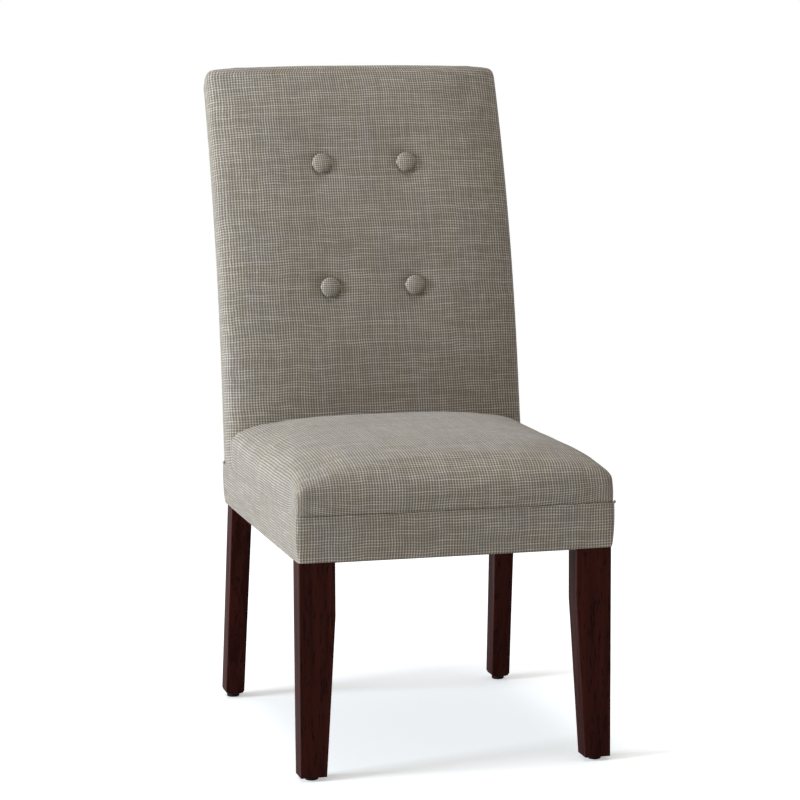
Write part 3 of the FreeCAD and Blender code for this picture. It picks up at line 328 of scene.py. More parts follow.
class Finish:
    """A procedural material of the chair."""

    def __init__(self, name, uniform):
        self.material = bpy.data.materials.new(name)
        self.material.use_nodes = True
        self.tree = self.material.node_tree
        self.shader = self.tree.nodes["Principled BSDF"]
        for key, value in uniform.items():
            self.shader.inputs[key].default_value = value

    def node(self, kind, settings, inputs, out=0):
        """Add a node with its settings first, then values or links for its sockets."""
        made = self.tree.nodes.new(kind)
        for key, value in settings.items():
            setattr(made, key, value)
        for key, value in inputs.items():
            if isinstance(value, Wire):
                self.tree.links.new(value.socket, made.inputs[key])
            else:
                made.inputs[key].default_value = value
        return Wire(self, made.outputs[out])

    def set(self, name, value):
        self.tree.links.new(value.socket, self.shader.inputs[name])

    def place(self):
        return self.node("ShaderNodeTexCoord", {}, {}, out="Object")

    def woven_place(self):
        return self.node("ShaderNodeUVMap", {"uv_map": "weave"}, {})

    def split(self, vector):
        return [self.node("ShaderNodeSeparateXYZ", {}, {0: vector}, out=axis) for axis in range(3)]

    def join(self, x, y, z):
        return self.node("ShaderNodeCombineXYZ", {}, {0: x, 1: y, 2: z})

    def noise(self, vector, scale, detail=3.0, rough=0.5, distortion=0.0):
        inputs = {"Vector": vector, "Scale": scale, "Detail": detail, "Roughness": rough,
                  "Distortion": distortion}
        return self.node("ShaderNodeTexNoise", {}, inputs)

    def fit(self, value, low, high, to_low=0.0, to_high=1.0):
        inputs = {"Value": value, "From Min": low, "From Max": high, "To Min": to_low, "To Max": to_high}
        return self.node("ShaderNodeMapRange", {"interpolation_type": "SMOOTHSTEP"}, inputs)

    def blend(self, factor, first, second):
        return self.node("ShaderNodeMix", {"data_type": "RGBA"}, {0: factor, 6: first, 7: second}, out=2)

    def bump(self, height, strength, distance):
        inputs = {"Height": height, "Strength": strength, "Distance": distance}
        self.set("Normal", self.node("ShaderNodeBump", {}, inputs))


def rgb(red, green, blue):
    """Colour written as it shows on a screen, from 0 to 255."""
    levels = []
    for value in (red, green, blue):
        share = value / 255
        levels.append(share / 12.92 if share <= 0.04045 else ((share + 0.055) / 1.055) ** 2.4)
    return (*levels, 1.0)


TURN = 2 * math.pi


def upholstery_cloth():
    """Small check linen: pale warp and weft lines over dark squares, with slubs and patches of tint."""
    cloth = Finish("check_linen", {"Roughness": 0.95, "Specular IOR Level": 0.12,
                                   "Sheen Weight": 0.13, "Sheen Roughness": 0.5})
    u, v, _ = cloth.split(cloth.woven_place())
    # the yarns wander a little
    drift_u = cloth.noise(cloth.join(u * 6.0, v * 24.0, 0.4), 1.0, 2.0)
    drift_v = cloth.noise(cloth.join(u * 24.0, v * 6.0, 8.3), 1.0, 2.0)
    a = u / WEAVE_PITCH + (drift_u - 0.5) * 1.3
    b = v / WEAVE_PITCH + (drift_v - 0.5) * 1.3
    warp = 0.5 + 0.5 * (a * TURN).sine()
    weft = 0.5 + 0.5 * (b * TURN).sine()
    # each line has its own strength, which changes slowly along it
    warp_row = (a + 0.25).floor()
    weft_row = (b + 0.25).floor()
    warp_slub = cloth.noise(cloth.join(warp_row * 0.73, v * 16.0, 1.4), 1.0, 3.0, 0.65)
    weft_slub = cloth.noise(cloth.join(u * 16.0, weft_row * 0.71, 5.6), 1.0, 3.0, 0.65)
    warp_line = cloth.fit(warp, 0.35, 0.95) * cloth.fit(warp_slub, 0.32, 0.68, 0.62, 1.06)
    weft_line = cloth.fit(weft, 0.40, 0.95) * cloth.fit(weft_slub, 0.34, 0.70, 0.40, 1.22)
    # single yarns inside each line
    over = (a * (TURN * 2)).sine() * (b * (TURN * 2)).sine()
    twist = cloth.noise(cloth.join(a * 3.0, b * 3.0, 2.0), 1.0, 2.0, 0.7)
    pale = warp_line * 0.56 + weft_line * 0.44 + over * 0.04 + (twist - 0.5) * 0.36
    # bands of tint along both sets of yarns
    along_warp = cloth.noise(cloth.join(u * 26.0, v * 5.0, 3.0), 1.0, 2.0)
    along_weft = cloth.noise(cloth.join(u * 4.0, v * 30.0, 6.0), 1.0, 2.0)
    tint = cloth.fit(along_warp * 0.55 + along_weft * 0.45, 0.40, 0.62)
    dark = cloth.blend(tint, rgb(102, 93, 84), rgb(102, 92, 79))
    light = cloth.blend(tint, rgb(193, 184, 173), rgb(192, 182, 168))
    colour = cloth.blend(pale, dark, light)
    cloth.set("Base Color", colour)
    relief = pale * 0.6 + over * 0.25 + twist * 0.3
    cloth.bump(relief, 0.3, 0.0005)
    return cloth.material


def stained_wood():
    """Dark brown stained hardwood: streaky pores along the grain under a thin lacquer."""
    wood = Finish("espresso_stain", {"Specular IOR Level": 0.03})
    x, y, z = wood.split(wood.place())
    grain = wood.noise(wood.join(x * 60.0, y * 60.0, z * 2.4), 1.0, 4.0, 0.6, 0.6)
    pores = wood.noise(wood.join(x * 330.0, y * 330.0, z * 42.0), 1.0, 3.0, 0.65)
    flame = wood.noise(wood.join(x * 9.0, y * 9.0, z * 1.6), 1.0, 3.0, 0.5, 1.2)
    colour = wood.blend(wood.fit(grain, 0.3, 0.72), rgb(38, 14, 10), rgb(62, 25, 20))
    colour = wood.blend(wood.fit(flame, 0.4, 0.75, 0.0, 0.55), colour, rgb(48, 17, 13))
    colour = wood.blend(wood.fit(pores, 0.54, 0.66, 0.0, 0.8), colour, rgb(16, 6, 5))
    wood.set("Base Color", colour)
    wood.set("Roughness", wood.fit(grain, 0.3, 0.7, 0.55, 0.42))
    wood.bump(grain * 0.4 - wood.fit(pores, 0.56, 0.72), 0.18, 0.0004)
    return wood.material


def bare_wood(name, pale, deep):
    wood = Finish(name, {"Specular IOR Level": 0.3})
    x, y, z = wood.split(wood.place())
    rings = wood.noise(wood.join(x * 5.0, y * 40.0, z * 40.0), 1.0, 4.0, 0.6, 0.8)
    pores = wood.noise(wood.join(x * 22.0, y * 500.0, z * 500.0), 1.0, 2.0, 0.6)
    colour = wood.blend(wood.fit(rings, 0.32, 0.7), pale, deep)
    colour = wood.blend(wood.fit(pores, 0.55, 0.75, 0.0, 0.35), colour, rgb(96, 66, 40))
    wood.set("Base Color", colour)
    wood.set("Roughness", wood.fit(pores, 0.3, 0.7, 0.55, 0.75))
    wood.bump(rings * 0.4 + pores * 0.3, 0.2, 0.0004)
    return wood.material


def plain_weave(name, base, shade, pitch, axes=(0, 1)):
    """Simple over-and-under weave on two of the chair's axes."""
    cloth = Finish(name, {"Specular IOR Level": 0.2})
    place = cloth.split(cloth.place())
    a, b = place[axes[0]] / pitch, place[axes[1]] / pitch
    over = (a * math.pi).sine() * (b * math.pi).sine()
    fuzz = cloth.noise(cloth.place(), 0.8 / pitch, 3.0, 0.6)
    colour = cloth.blend(cloth.fit(over, -0.6, 0.6, 0.15, 0.85), shade, base)
    colour = cloth.blend(cloth.fit(fuzz, 0.3, 0.7, 0.0, 0.3), colour, shade)
    cloth.set("Base Color", colour)
    cloth.set("Roughness", cloth.fit(fuzz, 0.3, 0.7, 0.8, 0.95))
    cloth.bump(over * 0.7 + fuzz * 0.5, 0.5, pitch * 0.25)
    return cloth.material


def fleece(name, base, shade, scale):
    """Soft stuffing: foam cells or matted fibre."""
    soft = Finish(name, {"Specular IOR Level": 0.15, "Sheen Weight": 0.15})
    cells = soft.noise(soft.place(), scale, 4.0, 0.7)
    clouds = soft.noise(soft.place(), scale / 14, 2.0)
    colour = soft.blend(soft.fit(cells, 0.3, 0.7), shade, base)
    colour = soft.blend(soft.fit(clouds, 0.3, 0.8, 0.0, 0.35), colour, shade)
    soft.set("Base Color", colour)
    soft.set("Roughness", soft.fit(cells, 0.2, 0.8, 0.85, 1.0))
    soft.bump(cells, 0.5, 0.001)
    return soft.material


def metal(name, base, shade):
    steel = Finish(name, {"Metallic": 1.0})
    film = steel.noise(steel.place(), 130.0, 3.0, 0.6)
    scratches = steel.noise(steel.place(), 900.0, 2.0, 0.6)
    steel.set("Base Color", steel.blend(steel.fit(film, 0.3, 0.7), base, shade))
    steel.set("Roughness", steel.fit(scratches, 0.3, 0.7, 0.28, 0.45))
    steel.bump(scratches, 0.1, 0.0002)
    return steel.material


def glide_nylon():
    """Dark moulded glide, scuffed where it meets the floor."""
    nylon = Finish("dark_nylon", {"Specular IOR Level": 0.15})
    height = nylon.split(nylon.place())[2]
    scuffs = nylon.noise(nylon.place(), 320.0, 4.0, 0.7)
    wear = nylon.fit(height, 0.0, 0.003, 0.8, 0.0) * nylon.fit(scuffs, 0.4, 0.65)
    nylon.set("Base Color", nylon.blend(wear, rgb(30, 14, 12), rgb(66, 52, 48)))
    nylon.set("Roughness", nylon.fit(scuffs, 0.3, 0.7, 0.38, 0.6))
    nylon.bump(scuffs, 0.15, 0.0003)
    return nylon.material


FINISHES = {
    "upholstery_fabric": upholstery_cloth(),
    "stained_wood": stained_wood(),
    "frame_wood": bare_wood("planed_hardwood", rgb(205, 172, 128), rgb(172, 132, 88)),
    "dowel_wood": bare_wood("turned_beech", rgb(222, 190, 150), rgb(196, 158, 112)),
    "glide": glide_nylon(),
    "screw_steel": metal("zinc_plate", rgb(196, 192, 178), rgb(158, 154, 142)),
    "anchor_steel": metal("stamped_steel", rgb(180, 180, 182), rgb(140, 140, 144)),
    "webbing": plain_weave("jute_webbing", rgb(180, 150, 104), rgb(112, 88, 56), 0.0016),
    "lining": plain_weave("cotton_lining", rgb(226, 220, 206), rgb(186, 178, 162), 0.0008),
    "foam": fleece("seat_foam", rgb(238, 228, 196), rgb(206, 190, 150), 700.0),
    "wadding": fleece("polyester_fleece", rgb(244, 244, 240), rgb(216, 216, 212), 420.0),
    "dust_cloth": plain_weave("black_dust_cloth", rgb(30, 30, 31), rgb(12, 12, 13), 0.0011),
    "twine": plain_weave("waxed_twine", rgb(206, 190, 150), rgb(150, 132, 96), 0.0006, (1, 2)),
}
for subpart in frame["record"]["subparts"]:
    node = frame["nodes"][subpart["node"]]
    node.data.materials.clear()
    node.data.materials.append(FINISHES[subpart["material_slot"]])


def dress(piece, slot_name="upholstery_fabric"):
    """Give a finished piece its material and its place in the chair."""
    piece.data.materials.clear()
    piece.data.materials.append(FINISHES[slot_name])
    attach(piece, "root")


# Soft pieces
CUSHION_VOXEL = 0.006
SWELL_FRAMES = 20
MOST_SWELL = 0.005


def evened(piece, move, passes=14):
    """Even out a movement over neighbouring points, as taut cloth does."""
    edges = np.empty(len(piece.data.edges) * 2, dtype=int)
    piece.data.edges.foreach_get("vertices", edges)
    first, second = edges.reshape(-1, 2).T
    count = np.bincount(edges, minlength=len(move))[:, None]
    for _ in range(passes):
        total = np.zeros_like(move)
        np.add.at(total, first, move[second])
        np.add.at(total, second, move[first])
        move = 0.5 * move + 0.5 * total / count
    return move


def swell(piece, rest, start, share, pressure):
    """Let air pressure swell a piece, and give the movement of its points from their start.

    share says how much each point is held, from 0 to 1. Where the start differs from the rest,
    stitches pull the points there, while the cloth keeps the size that it was cut to.
    """
    only(piece)
    group = piece.vertex_groups.new(name="held")
    for index in np.nonzero(share > 0.01)[0]:
        group.add([int(index)], float(share[index]), "REPLACE")
    stitched = start is not rest
    if stitched:
        piece.shape_key_add(name="pulled")
        cut = piece.shape_key_add(name="cut")
        cut.data.foreach_set("co", rest.ravel())
        piece.data.shape_keys.key_blocks["pulled"].data.foreach_set("co", start.ravel())
        set_points(piece, start)
    cloth = add_modifier(piece, "CLOTH")
    settings = cloth.settings
    settings.quality = 5
    settings.mass = 0.3
    settings.tension_stiffness = settings.compression_stiffness = 18
    settings.shear_stiffness = 8
    settings.bending_stiffness = 1.2
    settings.air_damping = 4
    settings.use_pressure = True
    settings.uniform_pressure_force = pressure
    settings.effector_weights.gravity = 0
    settings.vertex_group_mass = "held"
    if stitched:
        settings.rest_shape_key = piece.data.shape_keys.key_blocks["cut"]
    cloth.point_cache.frame_start = 1
    cloth.point_cache.frame_end = SWELL_FRAMES
    for step in range(1, SWELL_FRAMES + 1):
        scene.frame_set(step)
    grown = piece.evaluated_get(bpy.context.evaluated_depsgraph_get())
    flat = np.empty(len(rest) * 3)
    grown.data.vertices.foreach_get("co", flat)
    move = evened(piece, flat.reshape(-1, 3) - start)
    piece.modifiers.remove(cloth)
    if stitched:
        piece.shape_key_clear()
    scene.frame_set(1)
    piece.vertex_groups.remove(piece.vertex_groups["held"])
    return move


def puff(piece, pinned, pressure, weave, sunk=None):
    """Remesh a soft piece, lay its weave, swell it, and smooth it.

    pinned gives the share from 0 to 1 by which each point is held; sunk gives the places to
    which stitches pull the points.
    """
    add_modifier(piece, "REMESH", mode="VOXEL", voxel_size=CUSHION_VOXEL)
    apply_all(piece)
    rest = points(piece)
    weave(piece, rest)
    start = sunk(rest) if sunk else rest
    move = swell(piece, rest, start, pinned(rest), pressure)
    length = np.linalg.norm(move, axis=1)
    print(piece.name, "swelled by", round(float(length.mean()), 5),
          "at most", round(float(length.max()), 5))
    start = start + move * np.minimum(1, MOST_SWELL / np.maximum(length, 1e-9))[:, None]
    set_points(piece, start)
    add_modifier(piece, "SUBSURF", levels=1, render_levels=1, uv_smooth="NONE")
    apply_all(piece)
    for polygon in piece.data.polygons:
        polygon.use_smooth = True


# Seat cushion
SEAT_WIDEST = 0.426
SEAT_CROWN = 0.4745
SEAT_CROWN_RUN = 0.230
SEAT_CURVE = (3.0, 0.32)
SEAT_FORM = 0.0015                   # left for the swelling
SEAT_HIDDEN = 0.008                  # tucked in behind the band
SEAT_HALF = 0.2421                   # at the seam
SEAT_SPREAD = 0.0015                 # wider than that at the widest line
SEAT_OVERHANG = 0.002                # further forward there
SEAT_CORNER = 0.0065                 # front corners at the seam
SEAT_CORNER_SOFTER = 0.008           # rounder than that above it
SEAT_CLOTH_HALF = 0.2435


def seat_lean(z):
    """Share of the overhang: none at the seam, all of it from the widest line up."""
    up = np.clip((z - SEAM_Z) / (SEAT_WIDEST - SEAM_Z), 0, 1)
    return np.sin(up * math.pi / 2)


def seat_front_y(z):
    return FRONT_Y + SEAT_FORM - 0.0010 - SEAT_OVERHANG * seat_lean(z)


def seat_half(z):
    return SEAT_HALF + SEAT_SPREAD * seat_lean(z)


def seat_rear_y(z):
    return FACE_Y + (z - SEAM_Z) * math.tan(FACE_RAKE) - 0.001


def seat_weave(piece, rest):
    """Cloth that runs over the crown, and down over its sides and front."""
    x, y, z = rest.T
    half, rise = SEAT_CLOTH_HALF, SEAT_CROWN - SEAT_WIDEST
    side = np.abs(x) / half
    run = (FRONT_Y + SEAT_CROWN_RUN - y) / SEAT_CROWN_RUN
    up = (z - SEAT_WIDEST) / rise
    ahead = rounded(run * (run > 0), SEAT_CURVE)
    across = over_crown(side, up / np.maximum(ahead, 0.3), half, rise, SEAT_CURVE)
    aside = rounded(side, SEAT_CURVE)
    along = over_crown(np.maximum(run, 0), up / np.maximum(aside, 0.3), SEAT_CROWN_RUN, rise, SEAT_CURVE)
    along = np.where(run > 0, along, run * SEAT_CROWN_RUN)
    lay_weave(piece,
              side, np.stack([np.sign(x) * across, y - FRONT_Y - SEAT_CROWN_RUN], axis=1),
              run, np.stack([x, -along], axis=1))


def seat_cushion():
    """Crowned seat, made a little small and let swell."""
    piece = fine_cube("seat_cushion", 39)
    across, along, level = points(piece).T
    side = closer(across)
    from_rear = 1 - ((1 + along) / 2) ** 2
    depth = seat_rear_y(SEAT_CROWN) - FRONT_Y
    run = 1 - (1 - from_rear) * depth / SEAT_CROWN_RUN
    rise = SEAT_CROWN - SEAT_FORM - SEAT_WIDEST
    top = SEAT_WIDEST + rise * rounded(side, SEAT_CURVE) * rounded(run * (run > 0), SEAT_CURVE)
    bottom = SEAM_Z - SEAT_HIDDEN
    z = bottom + (level + 1) / 2 * (top - bottom)
    half, front, rear = seat_half(z), seat_front_y(z), seat_rear_y(z)
    x, y = side * half, rear + from_rear * (front - rear)
    corner = SEAT_CORNER + SEAT_CORNER_SOFTER * smooth_step((z - SEAM_Z) / 0.05)
    out_x, out_y = np.abs(x) - (half - corner), front + corner - y
    shrink = round_corner(out_x, out_y)
    x = np.where(shrink < 1, np.sign(x) * (half - corner + out_x * shrink), x)
    y = np.where(shrink < 1, front + corner - out_y * shrink, y)
    # the rear ends close against the rounded edges of the back
    hollow = BACK_SOFT * (1 - rounded(x / BACK_HALF, BACK_CURVE))
    y = y + hollow * smooth_step((y - (FACE_Y - 0.05)) / 0.05)
    set_points(piece, np.stack([x, y, z], axis=1))

    def pinned(rest):
        low_edge = 1 - smooth_step((rest[:, 2] - SEAM_Z) / 0.016)
        rear = smooth_step((rest[:, 1] - (seat_rear_y(rest[:, 2]) - 0.012)) / 0.01)
        return np.maximum(low_edge, rear)

    puff(piece, pinned, 1.6, seat_weave)
    dress(piece)
    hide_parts("seat_cover", "seat_wadding", "seat_foam")
    return piece


# Back cushion
BACK_CURVE = (3.4, 0.32)
BACK_SOFT = 0.034                    # from the face to the widest line of the sides
BACK_TOP_SOFT = 0.014
BACK_WIDEST = 0.2472
BACK_FORM = 0.0015                   # left for the swelling
BACK_CORNER = 0.016
BACK_NARROWS = 0.0048                # from the widest line to the rear
BACK_TUCK = 0.0040                   # drawn in at the band, over the height below
BACK_TUCK_HEIGHT = 0.024
REAR_BUILD_UP = 0.0052               # lining and wadding behind the posts


def back_weave(piece, rest):
    """Cloth that runs over the face and its soft sides, and over the top to the rear."""
    x, y, z = rest.T
    length, depth = face_measure(y, z)
    up = (BACK_SOFT - depth) / BACK_SOFT
    side = np.abs(x) / BACK_HALF
    near_top = np.maximum((length - FACE_LENGTH + BACK_TOP_SOFT) / BACK_TOP_SOFT, 0)
    across = over_crown(side, up / np.maximum(rounded(near_top, BACK_CURVE), 0.3),
                        BACK_HALF, BACK_SOFT, BACK_CURVE)
    along = FACE_LENGTH - BACK_TOP_SOFT + wrap(
        near_top * BACK_TOP_SOFT, -depth, BACK_TOP_SOFT, 0.0, BACK_TOP_SOFT)
    along = np.where(near_top > 0, along, length)
    lay_weave(piece,
              side, np.stack([np.sign(x) * across, length], axis=1),
              near_top, np.stack([x, along], axis=1))


def bent_block(name, half, levels, front, rear):
    """Block primitive cut into levels that follow two lines, front(share) and rear(share)."""
    bpy.ops.object.select_all(action="DESELECT")
    bpy.ops.mesh.primitive_cube_add(size=1, location=(0, 0, 0.5))
    piece = named(name)
    bpy.ops.object.transform_apply(location=True, rotation=True, scale=True)
    edit(piece)
    for level in range(1, levels):
        bpy.ops.mesh.select_all(action="SELECT")
        bpy.ops.mesh.bisect(plane_co=(0, 0, level / levels), plane_no=(0, 0, 1))
    leave_edit()
    place = points(piece)
    for index, (x, y, share) in enumerate(place):
        place[index] = (2 * half * x, *(rear(share) if y > 0 else front(share)))
    set_points(piece, place)
    return piece


def round_edges(piece, width, segments, test):
    """Bevel the edges for which a test holds."""
    edit(piece)
    pick(piece, "EDGE", test)
    bpy.ops.mesh.bevel(offset=width, segments=segments, affect="EDGES", profile=0.5)
    bpy.ops.mesh.select_mode(type="VERT")
    leave_edit()


def button_axes():
    """Name, centre on the face and outward direction of each button."""
    axes = []
    for level, height in BUTTON_HEIGHTS.items():
        angle = math.asin((height - FACE_CENTRE_Z) / FACE_RADIUS)
        y = FACE_CENTRE_Y - FACE_RADIUS * math.cos(angle)
        outward = Vector((0, -math.cos(angle), math.sin(angle)))
        for side, sign in (("left", -1), ("right", 1)):
            axes.append((f"{level}_{side}", Vector((sign * BUTTON_X, y, height)), outward))
    return axes


def from_axis(rest, centre, outward):
    """Distance of points from a button's axis."""
    away = rest - np.array(centre)
    beside = away - np.outer(away @ np.array(outward), np.array(outward))
    return np.linalg.norm(beside, axis=1)


def back_cushion():
    """Padded back: front, top and sides in one, pulled in by the four buttons."""
    piece = fine_cube("back_cushion", 49)
    across, behind, level = points(piece).T
    side = closer(across)
    share = 1 - ((1 - level) / 2) ** 1.5
    behind = (behind + 1) / 2
    half = BACK_WIDEST - BACK_FORM - BACK_NARROWS * smooth_step(behind)
    face_top = face_length_at_top(TOP_RISE - BACK_FORM)
    x, length = side * half, share * face_top
    out_x, out_up = np.abs(x) - (half - BACK_CORNER), length - (face_top - BACK_CORNER)
    shrink = round_corner(out_x, out_up)
    x = np.where(shrink < 1, np.sign(x) * (half - BACK_CORNER + out_x * shrink), x)
    length = np.where(shrink < 1, face_top - BACK_CORNER + out_up * shrink, length)
    share = length / face_top
    near_top = np.maximum((length - face_top + BACK_TOP_SOFT) / BACK_TOP_SOFT, 0)
    depth = BACK_SOFT * (1 - rounded(x / half, BACK_CURVE))
    depth += BACK_TOP_SOFT * (1 - rounded(near_top, (2, 0.5)))
    front = face_at(length, BACK_FORM + np.minimum(depth, BACK_SOFT))
    along = np.array((math.sin(REAR_TOP_ANGLE), math.cos(REAR_TOP_ANGLE)))
    high = rear_at(REAR_LENGTH, REAR_BUILD_UP) + along * (TOP_RISE - BACK_FORM)
    rear_length = SEAM_Z - RAIL_TOP + share * (REAR_LENGTH + TOP_RISE - BACK_FORM - SEAM_Z + RAIL_TOP)
    rear = rear_at(rear_length, REAR_BUILD_UP)
    rear += share[:, None] ** 8 * (high - rear_at(REAR_LENGTH + TOP_RISE - BACK_FORM, REAR_BUILD_UP))
    place = front + behind[:, None] * (rear - front)
    place[:, 1] = np.maximum(place[:, 1], SEAM_Z)
    # the lower edge is tucked in behind the band
    place[:, 1] -= SEAT_HIDDEN * (level < -0.999)
    tuck = 1 - smooth_step((place[:, 1] - SEAM_Z + SEAT_HIDDEN) / BACK_TUCK_HEIGHT)
    x = np.sign(x) * np.minimum(np.abs(x), BACK_WIDEST - BACK_FORM - BACK_TUCK * tuck)
    set_points(piece, np.stack([x, place[:, 0], place[:, 1]], axis=1))
    axes = button_axes()

    def on_face(rest):
        return face_measure(rest[:, 1], rest[:, 2])[1] < 0.02

    def pinned(rest):
        rear_depth = rear_measure(rest[:, 1], rest[:, 2])[1]
        hold = smooth_step((rear_depth + 0.030) / 0.020)
        hold = np.maximum(hold, 1 - smooth_step((rest[:, 2] - 0.465) / 0.04))
        for _, centre, outward in axes:
            near = 1 - smooth_step((from_axis(rest, centre, outward) - 0.008) / 0.006)
            hold = np.maximum(hold, near * on_face(rest))
        return hold

    def sunk(rest):
        place = rest.copy()
        for _, centre, outward in axes:
            away = from_axis(rest, centre, outward) / DIMPLE_REACH
            pull = (DIMPLE_DEPTH - BACK_FORM) * np.exp(-away ** 2)
            place -= np.outer(pull * on_face(rest), np.array(outward))
        return place

    puff(piece, pinned, 1.0, back_weave, sunk)
    dress(piece)
    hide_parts("inside_back_cover", "back_padding", "back_foam", "outside_back_wadding")
    return piece


def outside_back():
    """Plain panel of cloth over the rear, sewn down along its edges."""
    panel_half = BACK_HALF - 0.0065
    low_length, top_length = 0.0042, REAR_LENGTH + TOP_RISE - 0.008

    def front(share):
        return rear_at(low_length + share * (top_length - low_length), REAR_BUILD_UP)

    def rear(share):
        lift = 0.0076 + 0.0006 * math.sin(math.pi * share)
        return rear_at(low_length + share * (top_length - low_length), lift)

    piece = bent_block("outside_back", panel_half, 30, front, rear)
    round_edges(piece, 0.012, 4, lambda edge: (
        min(v.co.z for v in edge.verts) > rear_at(top_length)[1] - 0.01
        and abs(middle(edge).x) > panel_half - 0.001
        and abs(edge.verts[0].co.y - edge.verts[1].co.y) > 0.001))
    round_edges(piece, 0.0011, 2, lambda edge: (
        len(edge.link_faces) == 2 and edge.calc_face_angle() > 0.7
        and rear_measure(middle(edge).y, middle(edge).z)[1] > 0.0066))
    rest = points(piece)
    x, y, z = rest.T
    lay_flat(piece, np.stack([x, rear_measure(y, z)[0]], axis=1))
    bpy.ops.object.shade_smooth_by_angle(angle=math.radians(40))
    dress(piece)
    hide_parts("outside_back_cover")
    return piece


# Band round the seat box
def band():
    """Cloth band: swells in the middle, turns in at the seam and under the rails."""
    bpy.ops.object.select_all(action="DESELECT")
    height = SEAM_Z - BAND_BOTTOM
    centre = (0, FRONT_Y + BAND_DEPTH / 2, BAND_BOTTOM + height / 2)
    bpy.ops.mesh.primitive_cube_add(size=1, location=centre, scale=(2 * BAND_HALF, BAND_DEPTH, height))
    piece = named("seat_band_cover")
    bpy.ops.object.transform_apply(location=True, rotation=True, scale=True)
    edit(piece)
    pick(piece, "FACE", lambda face: abs(face.normal.z) > 0.9)
    bpy.ops.mesh.delete(type="FACE")
    leave_edit()
    round_edges(piece, 0.007, 4, lambda edge: abs(edge.verts[0].co.z - edge.verts[1].co.z) > 0.01)
    edit(piece)

    def spread(outward):
        """Move the selected rings outwards all round."""
        bpy.ops.transform.resize(value=(1 + outward / BAND_HALF, 1 + 2 * outward / BAND_DEPTH, 1),
                                 center_override=centre)

    def turn_in(rings):
        """Fold the selected edge on, ring by ring."""
        for inward, rise in rings:
            bpy.ops.mesh.extrude_edges_move()
            spread(-inward)
            bpy.ops.transform.translate(value=(0, 0, rise))

    levels = 10
    bpy.ops.mesh.select_mode(type="VERT")
    for level in range(1, levels):
        bpy.ops.mesh.select_all(action="SELECT")
        bpy.ops.mesh.bisect(plane_co=(0, 0, BAND_BOTTOM + height * level / levels), plane_no=(0, 0, 1))
    for level in range(1, levels + 1):
        share = level / levels
        outward = BAND_BULGE * math.sin(math.pi * share) ** 0.8 if share < 1 else 0.0
        outward += BAND_FLARE * share ** 0.7
        ring = BAND_BOTTOM + height * share
        pick(piece, "VERT", lambda vert: abs(vert.co.z - ring) < 0.0005)
        spread(outward)
    # the seam allowance turns in and down along the top
    pick(piece, "VERT", lambda vert: vert.co.z > SEAM_Z - 0.0005)
    top_rings = ((0.0006, 0.0003), (0.0006, -0.0006), (0.0004, -0.0024))
    turn_in(top_rings)
    # at the rear the last ring runs in to the outside back
    last_ring = SEAM_Z + sum(rise for _, rise in top_rings)
    pick(piece, "VERT", lambda vert: (
        vert.co.y > FRONT_Y + BAND_DEPTH - 0.0060 and abs(vert.co.z - last_ring) < 0.0002))
    bpy.ops.transform.translate(value=(0, -0.010, 0.0016))
    # the lower edge turns in under the rails
    pick(piece, "VERT", lambda vert: vert.co.z < BAND_BOTTOM + 0.0005)
    bpy.ops.transform.translate(value=(0, 0, 0.0008))
    turn_in(((0.0012, -0.0008), (0.0020, 0.0)))
    bpy.ops.mesh.select_all(action="SELECT")
    bpy.ops.mesh.normals_make_consistent(inside=False)
    leave_edit()
    add_modifier(piece, "SOLIDIFY", thickness=0.0012, offset=-1)
    add_modifier(piece, "SUBSURF", levels=2, render_levels=2)
    apply_all(piece)
    rest = points(piece)
    x, y, z = rest.T
    near_side = np.abs(x) - BAND_HALF
    near_end = np.abs(y - centre[1]) - BAND_DEPTH / 2
    lay_weave(piece, near_side, np.stack([y + BAND_CHECK_SHIFT, z], axis=1),
              near_end, np.stack([x, z], axis=1))
    bpy.ops.object.shade_smooth()
    dress(piece)
    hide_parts("seat_band")
    return piece


# Covered buttons
def covered_button():
    """One button, built up along +Z from the origin: domed cloth gathered under the rim."""
    bpy.ops.object.select_all(action="DESELECT")
    bpy.ops.mesh.primitive_uv_sphere_add(segments=56, ring_count=28, radius=BUTTON_RADIUS)
    piece = named("covered_button")
    edit(piece)
    bpy.ops.mesh.select_all(action="SELECT")
    bpy.ops.mesh.bisect(plane_co=(0, 0, -0.006), plane_no=(0, 0, 1), clear_inner=True, use_fill=True)
    leave_edit()
    place = points(piece)
    x, y, z = place.T
    radius = np.hypot(x, y)
    angle = np.arctan2(y, x)
    up = np.where(z > 0, BUTTON_DOME * np.maximum(z / BUTTON_RADIUS, 0) ** 0.62, z * 0.5)
    # pleats round the rim
    near_rim = np.clip(radius / BUTTON_RADIUS, 0, 1) ** 6
    pleat = 0.00032 * np.cos(angle * 14 + 0.6 * np.sin(angle * 3)) * near_rim
    grow = 1 + pleat / np.maximum(radius, 1e-6)
    place = np.stack([x * grow, y * grow, up + 0.002], axis=1)
    set_points(piece, place)
    lay_flat(piece, place[:, :2] * BUTTON_WEAVE)
    bpy.ops.object.shade_smooth()
    return piece


def buttons():
    """Four copies of one button, each turned a little differently."""
    model = covered_button()
    for number, (name, centre, outward) in enumerate(button_axes()):
        only(model)
        bpy.ops.object.duplicate()
        piece = named(f"button_{name}")
        tilt = Vector((0, 0, 1)).rotation_difference(outward).to_matrix().to_4x4()
        twist = Matrix.Rotation(0.06 - 0.05 * number, 4, "Z")
        piece.matrix_world = Matrix.Translation(centre - outward * BUTTON_SUNK) @ tilt @ twist
        bpy.ops.object.transform_apply(location=True, rotation=True, scale=True)
        dress(piece)
        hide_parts(f"tufting_button_{name}")
    bpy.data.objects.remove(model)


